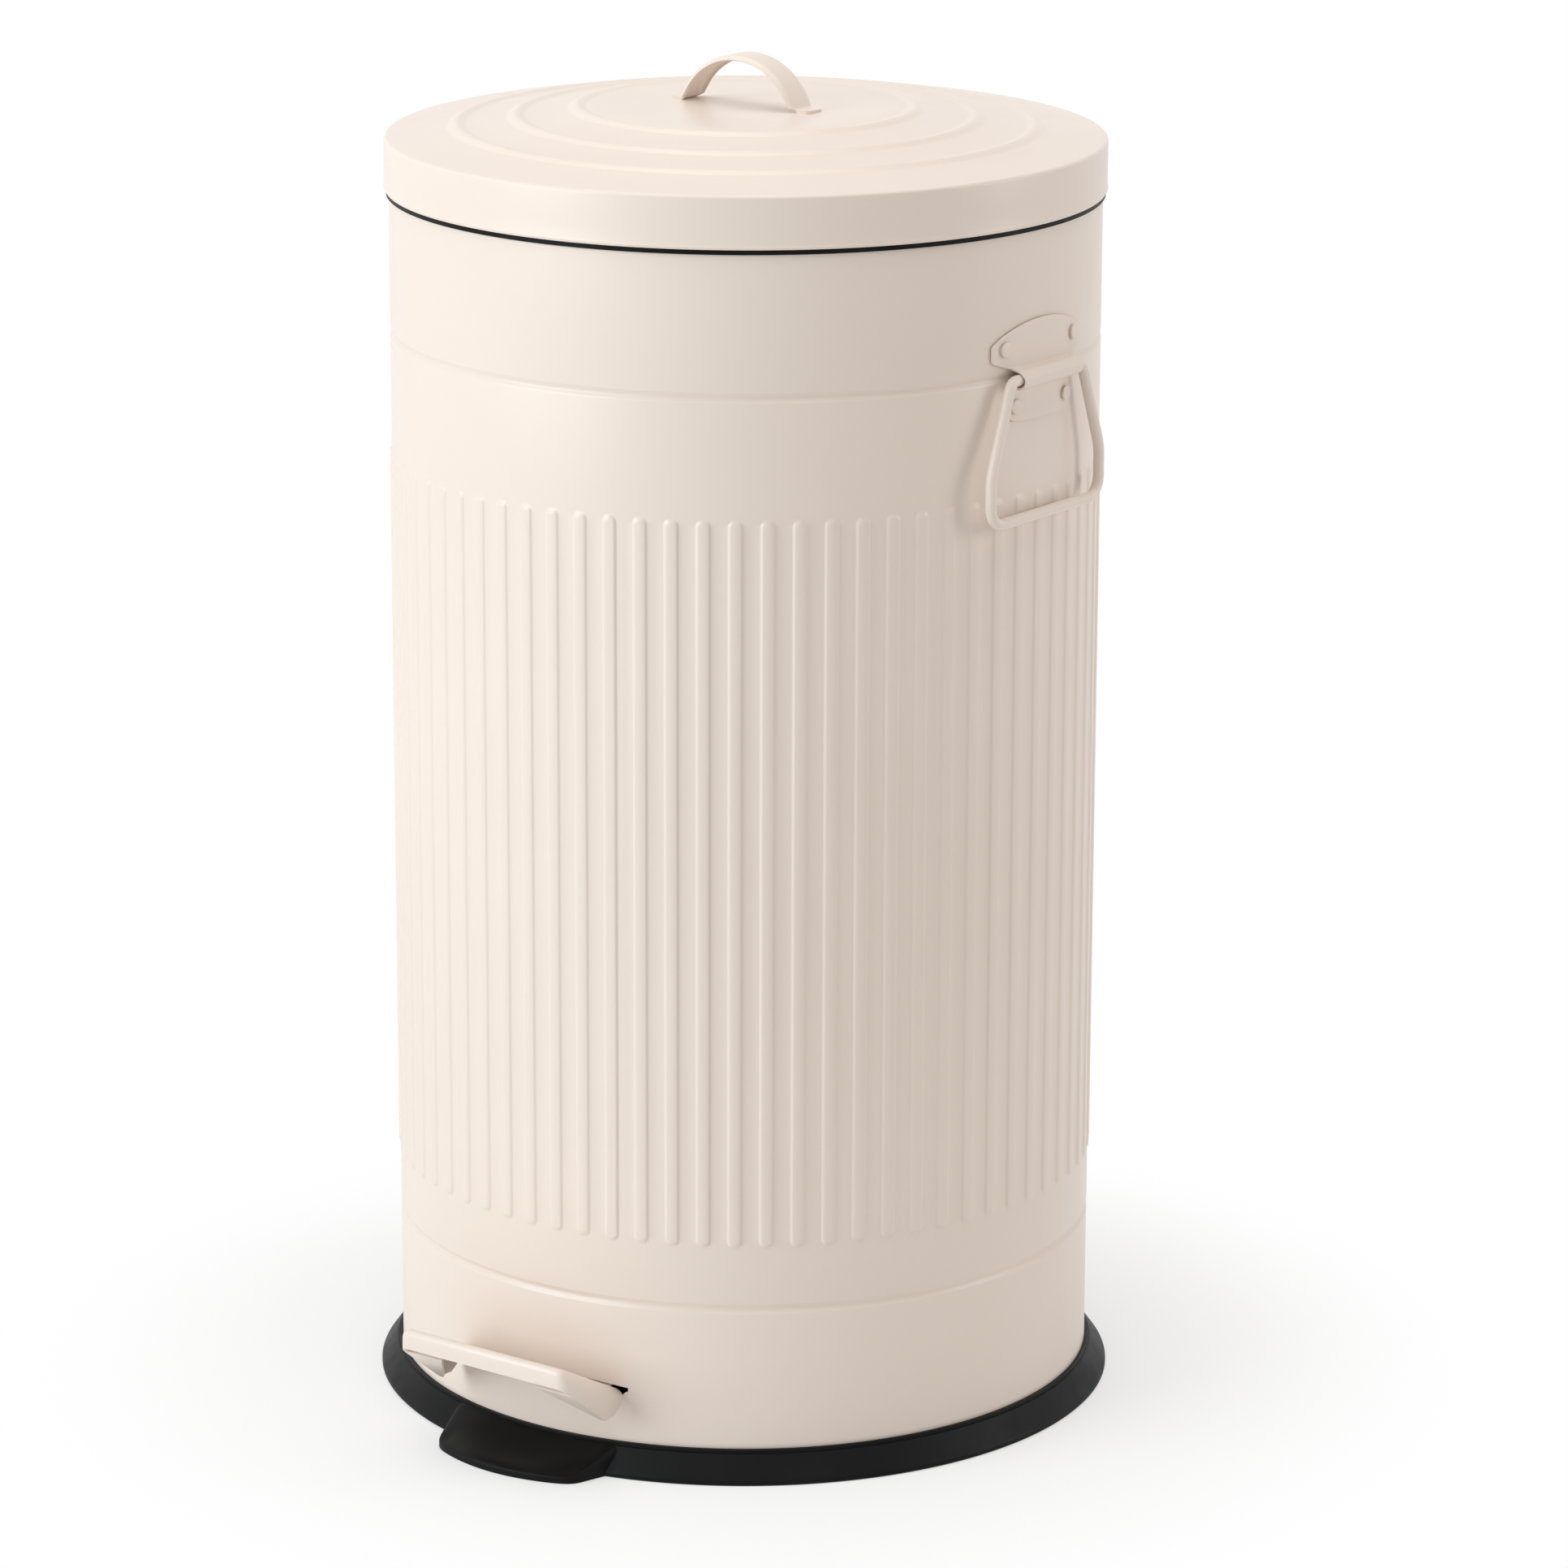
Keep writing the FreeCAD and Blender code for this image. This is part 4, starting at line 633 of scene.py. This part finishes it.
def plate_reach(out, up, aside):
    """The plate's distance from the can's middle; the ramp blends from the tunnel to the can's curve."""
    face = math.sqrt(PLATE_FACE ** 2 - aside ** 2)
    if out is None:
        return face
    share = smooth_step(up / TUNNEL_RAMP) if up > 0 else 0.0
    return HANDLE_X + out + (face - PLATE_FACE) * share


def make_plate(name, side):
    rows = plate_rows()
    points = []
    for out, up, half in rows:
        for column in range(PLATE_COLUMNS + 1):
            aside = half * (2 * column / PLATE_COLUMNS - 1)
            points.append((side * plate_reach(out, up, aside), side * aside, HANDLE_Z + up))
    piece = make_piece(name, points, grid_faces(len(rows), PLATE_COLUMNS + 1), sharp_angle=50.0)
    add_thickness(piece, PLATE_DRAWN_SHEET)
    add_round_edges(piece, PLATE_EDGE, steps=2, angle=60.0)
    apply_modifiers(piece)
    return piece


def rivet_profile():
    """Radius and height of a rivet above the plate's face, from its tail inside the can to its flat head."""
    tail_top = -(CAN_WALL + PLATE_SHEET + RIVET_PLAY)
    tail_end = tail_top - TAIL_SHEET
    tail = [(0.0, tail_end), (RIVET_TAIL, tail_end), (RIVET_TAIL, tail_top)]
    neck = [(RIVET_SHANK, tail_top), (RIVET_SHANK, 0.0), (RIVET_NECK, 0.0), (RIVET_NECK, RIVET_TOP / 3)]
    rim_middle = (RIVET_HEAD - RIM_ROUND, RIVET_TOP - RIM_DROP)
    rim = arc_points(rim_middle, RIM_ROUND, -RIM_TURN, RIM_TURN, RIM_STEPS)
    return tail + neck + rim + [(RIVET_FLAT, RIVET_TOP), (0.0, RIVET_TOP)]


def make_rivets(name, side):
    """Four rivets with flat, rounded heads, square to the can's wall."""
    profile = rivet_profile()
    turned_faces = grid_faces(RIVET_STEPS, len(profile), wrap_columns=True, wrap_rows=True)
    points = []
    faces = []
    for aside, up in [(way * aside, up) for aside, up in RIVETS for way in (-1, 1)]:
        angle = math.asin(aside / CAN_RADIUS)
        outward = Vector((math.cos(angle), math.sin(angle), 0.0)) * side
        along = Vector((-outward.y, outward.x, 0.0))
        foot = outward * PLATE_FACE + Vector((0.0, 0.0, HANDLE_Z + up))
        faces += [tuple(len(points) + corner for corner in face) for face in turned_faces]
        for step in range(RIVET_STEPS):
            turn = 2 * math.pi * step / RIVET_STEPS
            across = along * math.cos(turn) + Vector((0.0, 0.0, math.sin(turn)))
            points += [tuple(foot + across * radius + outward * height) for radius, height in profile]
    return make_piece(name, points, faces, sharp_angle=50.0)


# Base

def ring_profile():
    """Section of the base ring: a low outer edge, a slope up to the lip, the can's seat and a flat foot."""
    edge = [(PAN_RADIUS - inset, height) for inset, height in PAN_EDGE]
    crest = [(PAN_LIP + outset, PAN_HEIGHT - drop) for outset, drop in PAN_CREST]
    seat = [(SEAT_RADIUS, PAN_HEIGHT), (SEAT_RADIUS, CAN_FOOT), (0.0, CAN_FOOT), (0.0, 0.0)]
    foot = [(SCREW_CIRCLE - SCREW_BAND, 0.0), (SCREW_CIRCLE + SCREW_BAND, 0.0), (PAN_FOOT, 0.0)]
    return edge + crest + seat + foot


def guard_top(across, out):
    """A point of the guard's trough: across runs from -1 to 1, out from 0 at the can's lip to 1 in front."""
    half = TROUGH_HALF - TROUGH_TAPER * smooth_step(out)
    side_y = -TROUGH_BACK - (TROUGH_CORNER - TROUGH_BACK) * out
    front_y = -SEAT_RADIUS - (TROUGH_FRONT - SEAT_RADIUS) * out
    bulge = 1.0 - across * across
    height = TROUGH_TOP - TROUGH_FALL * out ** TROUGH_FALL_POWER
    height -= TROUGH_HOLLOW * bulge * math.sin(math.pi * out)
    return half * across, side_y + (front_y - side_y) * bulge, height


def guard_foot(across, out):
    """The guard's outline on the floor, beside or in front of the same point of the trough."""
    half = GUARD_ROOT + (GUARD_HALF - GUARD_ROOT) * out
    side_y = -GUARD_FOOT_BACK - (GUARD_CORNER - GUARD_FOOT_BACK) * out
    bow = (GUARD_FRONT - GUARD_CORNER) * (1.0 - across * across) if out == 1.0 else 0.0
    return half * across, side_y - bow


def soften_corners(line):
    """Draw each point of an open line a little towards its neighbours."""
    for _ in range(GUARD_SOFTENING):
        middle = []
        for before, here, after in zip(line, line[1:], line[2:]):
            middle.append(tuple((a + 2 * b + c) / 4 for a, b, c in zip(before, here, after)))
        line = [line[0]] + middle + [line[-1]]
    return line


def guard_walls(route):
    """Rows of points from the trough's rim over a sloping shoulder and down upright walls."""
    ridge = [guard_top(*spot) for spot in route]
    foot = soften_corners([guard_foot(*spot) for spot in route])
    walls = list(ridge)
    for aside, drop in GUARD_WALL:
        for (x, y, z), (foot_x, foot_y) in zip(ridge, foot):
            level = z + (GUARD_LIFT - z) * drop
            walls.append((x + (foot_x - x) * aside, y + (foot_y - y) * aside, level))
    return walls


def guard_mesh():
    """Points and faces of the guard: its trough and walls, an underside and a back inside the ring."""
    acrosses = [2 * column / GUARD_COLUMNS - 1 for column in range(GUARD_COLUMNS + 1)]
    outs = [row / GUARD_ROWS for row in range(GUARD_ROWS + 1)]
    top = [guard_top(across, out) for out in outs for across in acrosses]
    faces = grid_faces(len(outs), len(acrosses))
    route = [(-1.0, out) for out in outs] + [(across, 1.0) for across in acrosses[1:-1]]
    route += [(1.0, out) for out in reversed(outs)]
    first = len(top)
    count = len(route)
    last = first + len(GUARD_WALL) * count
    faces += [tuple(first + corner for corner in face) for face in grid_faces(len(GUARD_WALL) + 1, count)]
    for corner in range(count // 2):
        mirror = count - 1 - corner
        under = (corner, corner + 1, mirror - 1, mirror)
        faces.append(tuple(last + each for each in dict.fromkeys(under)))
    left = list(range(first + count, last + 1, count))
    right = [corner + count - 1 for corner in left]
    faces.append(tuple(list(range(len(acrosses))) + right + left[::-1]))
    return top + guard_walls(route), faces


def sink_screws(ring):
    """Cut the recesses for the screw heads into the underside."""
    cutters = bmesh.new()
    for screw in range(SCREW_COUNT):
        angle = 2 * math.pi * screw / SCREW_COUNT
        place = Vector((math.cos(angle), math.sin(angle), 0.0)) * SCREW_CIRCLE * MM
        bmesh.ops.create_cone(cutters, cap_ends=True, segments=SCREW_STEPS, radius1=SINK_RADIUS * MM,
                              radius2=SINK_RADIUS * MM, depth=2 * SINK_DEPTH * MM,
                              matrix=Matrix.Translation(place))
    mesh = bpy.data.meshes.new("cutters")
    cutters.to_mesh(mesh)
    cutters.free()
    tool = add_object("cutters", mesh)
    cut = ring.modifiers.new("screw sinks", "BOOLEAN")
    cut.object = tool
    cut.operation = "DIFFERENCE"
    apply_modifiers(ring, sharp_angle=30.0)
    bpy.data.objects.remove(tool)


def make_base():
    ring = lathe("base", ring_profile(), sharp_angle=30.0)
    sink_screws(ring)
    points, faces = guard_mesh()
    guard = make_piece("guard", points, faces, sharp_angle=38.0)
    joined = bmesh.new()
    joined.from_mesh(ring.data)
    joined.from_mesh(guard.data)
    joined.to_mesh(ring.data)
    joined.free()
    bpy.data.objects.remove(guard)
    return ring


# Pedal

def pedal_height(y):
    """Height of the sloping tread's top face."""
    return BEND_TOP + (NOSE_TOP - BEND_TOP) * (BEND_Y - y) / (BEND_Y - NOSE_Y)


def add_face(shell, corners):
    shell.faces.new([shell.verts.new((x * MM, y * MM, z * MM)) for x, y, z in corners])


def join_faces(shell, distance):
    bmesh.ops.remove_doubles(shell, verts=shell.verts, dist=distance * MM)
    bmesh.ops.recalc_face_normals(shell, faces=shell.faces)


def trim_below(shell, first, second):
    """Cut away what lies below a line from front to back, given by two points in Y and Z."""
    way = Vector((0.0, second[0] - first[0], second[1] - first[1]))
    everything = shell.verts[:] + shell.edges[:] + shell.faces[:]
    bmesh.ops.bisect_plane(shell, geom=everything, plane_co=(0.0, first[0] * MM, first[1] * MM),
                           plane_no=(0.0, way.z, -way.y), clear_outer=True)


def folded_tread():
    """The tread with its lip and side webs: folded with round bends, then trimmed from lip to heel."""
    back_top = pedal_height(PEDAL_BACK)
    top = [(-PEDAL_HALF, NOSE_Y, NOSE_TOP), (PEDAL_HALF, NOSE_Y, NOSE_TOP),
           (PEDAL_HALF, PEDAL_BACK, back_top), (-PEDAL_HALF, PEDAL_BACK, back_top)]
    shell = bmesh.new()
    add_face(shell, top)
    for start, finish in ((0, 1), (1, 2), (3, 0)):
        lower = [(top[corner][0], top[corner][1], UNTRIMMED_LOW) for corner in (finish, start)]
        add_face(shell, [top[start], top[finish]] + lower)
    join_faces(shell, FOLD_MERGE)
    folds = [edge for edge in shell.edges if len(edge.link_faces) == 2]
    bmesh.ops.bevel(shell, geom=folds, offset=PEDAL_ROUND * MM, segments=PEDAL_ROUND_STEPS, profile=0.5,
                    affect="EDGES", clamp_overlap=False)
    line = [(NOSE_Y, LIP_LOW), WEB_TIP, *HEEL]
    for first, second in zip(line, line[1:]):
        trim_below(shell, first, second)
    return shell


def add_tongue(shell):
    """The tread narrows behind its webs and bends level into the tongue that lies on the lever."""
    def across(half, y, z):
        return [(-half, y, z), (half, y, z)]

    back = across(TREAD_HALF, PEDAL_BACK, pedal_height(PEDAL_BACK))
    end = across(TREAD_HALF, TREAD_END, pedal_height(TREAD_END))
    bend = across(NECK_HALF, BEND_Y, BEND_TOP)
    start = across(TONGUE_HALF, TONGUE_START, BEND_TOP)
    tip = across(TONGUE_HALF, TONGUE_END, BEND_TOP)
    add_face(shell, [back[0], back[1], end[1], bend[1], bend[0], end[0]])
    add_face(shell, [bend[0], bend[1], start[1], tip[1], tip[0], start[0]])


def add_flanges(shell):
    """The webs' lower edges are turned in as flanges that narrow from the front to the tip."""
    slope = (WEB_TIP[1] - LIP_LOW) / (WEB_TIP[0] - NOSE_Y)
    front = (NOSE_Y + PEDAL_ROUND, LIP_LOW + slope * PEDAL_ROUND)
    for side in (-1, 1):
        web = [(side * PEDAL_HALF, *front), (side * PEDAL_HALF, *WEB_TIP)]
        inner = [(side * (PEDAL_HALF - FLANGE_TIP_WIDTH), *WEB_TIP), (side * FLANGE_FRONT_HALF, *front)]
        add_face(shell, web + inner)


def make_pedal():
    shell = folded_tread()
    add_tongue(shell)
    add_flanges(shell)
    join_faces(shell, FLANGE_MERGE)
    upper = max(shell.faces, key=lambda face: face.calc_area())
    if upper.normal.z < 0:
        bmesh.ops.reverse_faces(shell, faces=shell.faces)
    mesh = bpy.data.meshes.new("pedal")
    shell.to_mesh(mesh)
    shell.free()
    piece = add_object("pedal", mesh)
    add_thickness(piece, PEDAL_SHEET)
    add_round_edges(piece, PEDAL_EDGE, steps=3, angle=50.0)
    apply_modifiers(piece, sharp_angle=35.0)
    return piece


# Stage

def from_view(right, near, up):
    """A place given as seen by the camera: to the right, towards it and up, in metres."""
    across = Vector((math.cos(VIEW_TURN), math.sin(VIEW_TURN), 0.0))
    towards = Vector((math.sin(VIEW_TURN), -math.cos(VIEW_TURN), 0.0))
    return across * right + towards * near + Vector((0.0, 0.0, up))


def add_light(name, place, size, power, colour=WHITE):
    light = bpy.data.lights.new(name, "AREA")
    light.shape = "RECTANGLE"
    light.size, light.size_y = size
    light.energy = power
    light.color = colour
    lamp = add_object(name, light)
    lamp.location = place
    lamp.rotation_euler = (LAMP_AIM - place).to_track_quat("-Z", "Y").to_euler()


def make_camera():
    camera = bpy.data.cameras.new("camera")
    camera.lens = VIEW_LENS
    camera.sensor_width = VIEW_SENSOR
    camera.clip_end = VIEW_CLIP
    eye = add_object("camera", camera)
    turn = Euler((math.pi / 2 - VIEW_DOWN, 0.0, VIEW_TURN + VIEW_YAW)).to_matrix()
    turn = turn @ Matrix.Rotation(VIEW_ROLL, 3, "Z")
    eye.matrix_world = Matrix.Translation(from_view(0.0, VIEW_AWAY, VIEW_HEIGHT)) @ turn.to_4x4()
    bpy.context.scene.camera = eye


def seen_directly(tree):
    """1 for what the camera or a reflection sees, 0 for the light that falls on the object."""
    path = tree.nodes.new("ShaderNodeLightPath")
    seen = tree.nodes.new("ShaderNodeMath")
    seen.operation = "MAXIMUM"
    tree.links.new(path.outputs["Is Camera Ray"], seen.inputs[0])
    tree.links.new(path.outputs["Is Glossy Ray"], seen.inputs[1])
    return seen.outputs["Value"]


def floor_white_with_painted_shade(tree):
    """How much of the floor's white is seen: less near the object, a painted shade round its base where its
    real shadow also shows.
    """
    place = tree.nodes.new("ShaderNodeTexCoord")
    length = tree.nodes.new("ShaderNodeVectorMath")
    length.operation = "LENGTH"
    # painted shade: the white share drops near the object's middle, so the floor is greyer there than its
    # real shadow alone makes it
    painted_shade_fade = tree.nodes.new("ShaderNodeMapRange")
    painted_shade_fade.interpolation_type = "SMOOTHSTEP"
    painted_shade_fade.inputs["From Min"].default_value, painted_shade_fade.inputs["From Max"].default_value = FLOOR_PAINTED_SHADE_FADE
    painted_shade_fade.inputs["To Min"].default_value = FLOOR_WHITE_IN_PAINTED_SHADE
    white = tree.nodes.new("ShaderNodeMath")
    white.operation = "MULTIPLY"
    tree.links.new(place.outputs["Object"], length.inputs[0])
    tree.links.new(length.outputs["Value"], painted_shade_fade.inputs["Value"])
    tree.links.new(painted_shade_fade.outputs["Result"], white.inputs[0])
    tree.links.new(seen_directly(tree), white.inputs[1])
    return white.outputs["Value"]


def floor_paint():
    material, tree, shader = new_material("floor")
    colour = blend_colours(tree, noise(tree, 3.0), ((0.86, 0.86, 0.86), (0.88, 0.88, 0.88)))
    tree.links.new(colour, shader.inputs["Base Color"])
    shader.inputs["Roughness"].default_value = 0.7
    shader.inputs["Specular IOR Level"].default_value = 0.2
    glow = tree.nodes.new("ShaderNodeEmission")
    mix = tree.nodes.new("ShaderNodeMixShader")
    tree.links.new(floor_white_with_painted_shade(tree), mix.inputs["Fac"])
    tree.links.new(shader.outputs["BSDF"], mix.inputs[1])
    tree.links.new(glow.outputs["Emission"], mix.inputs[2])
    tree.links.new(mix.outputs["Shader"], tree.nodes["Material Output"].inputs["Surface"])
    return material


def make_floor():
    corners = [(x * FLOOR_HALF, y * FLOOR_HALF, 0.0) for x, y in ((-1, -1), (1, -1), (1, 1), (-1, 1))]
    mesh = bpy.data.meshes.new("floor")
    mesh.from_pydata(corners, [], [(0, 1, 2, 3)])
    mesh.materials.append(floor_paint())
    floor = add_object("floor", mesh)


def make_world():
    """White to the camera and in reflections, and a weaker warm fill as light."""
    world = bpy.data.worlds.new("studio")
    bpy.context.scene.world = world
    world.use_nodes = True
    tree = world.node_tree
    tree.nodes.clear()
    output = tree.nodes.new("ShaderNodeOutputWorld")
    fill = tree.nodes.new("ShaderNodeBackground")
    fill.inputs["Color"].default_value = FILL_COLOUR
    fill.inputs["Strength"].default_value = FILL_STRENGTH
    white = tree.nodes.new("ShaderNodeBackground")
    white.inputs["Color"].default_value = (*WHITE, 1.0)
    mix = tree.nodes.new("ShaderNodeMixShader")
    tree.links.new(seen_directly(tree), mix.inputs["Fac"])
    tree.links.new(fill.outputs["Background"], mix.inputs[1])
    tree.links.new(white.outputs["Background"], mix.inputs[2])
    tree.links.new(mix.outputs["Shader"], output.inputs["Surface"])


def make_stage():
    make_floor()
    make_world()
    add_light("key", from_view(-2.3, 1.3, 1.2), size=(1.8, 2.0), power=53.0, colour=(0.88, 0.96, 1.0))
    add_light("top", from_view(0.0, 0.0, 2.4), size=(2.2, 2.2), power=25.0)
    add_light("side", from_view(2.4, 0.2, 1.0), size=(0.7, 1.4), power=13.0)
    make_camera()
    bpy.context.scene.view_settings.view_transform = "Standard"


def main():
    finishes = {
        "cream_paint": cream_paint(),
        "black_plastic": black_plastic(),
        "zinc_steel": zinc_steel(),
        "bucket_plastic": grey_plastic(),
        "bush_plastic": nylon(),
    }
    for entry in frame["record"]["subparts"]:
        mesh = frame["nodes"][entry["node"]].data
        mesh.materials.clear()
        mesh.materials.append(finishes[entry["material_slot"]])
    pieces = (
        (make_can(), "bin", "body_shell", "cream_paint"),
        (make_lid(), "lid", "lid_shell", "cream_paint"),
        (make_strap(), "lid", "lid_handle", "cream_paint"),
        (make_plate("right_plate", 1), "bin", "right_handle_plate", "cream_paint"),
        (make_plate("left_plate", -1), "bin", "left_handle_plate", "cream_paint"),
        (make_rivets("right_rivets", 1), "bin", "right_handle_rivets", "cream_paint"),
        (make_rivets("left_rivets", -1), "bin", "left_handle_rivets", "cream_paint"),
        (make_base(), "bin", "base_pan", "black_plastic"),
        (make_pedal(), "pedal", "pedal_pad", "cream_paint"),
    )
    for piece, body, node, slot in pieces:
        settle(piece, body, node, finishes[slot])
    make_stage()


main()
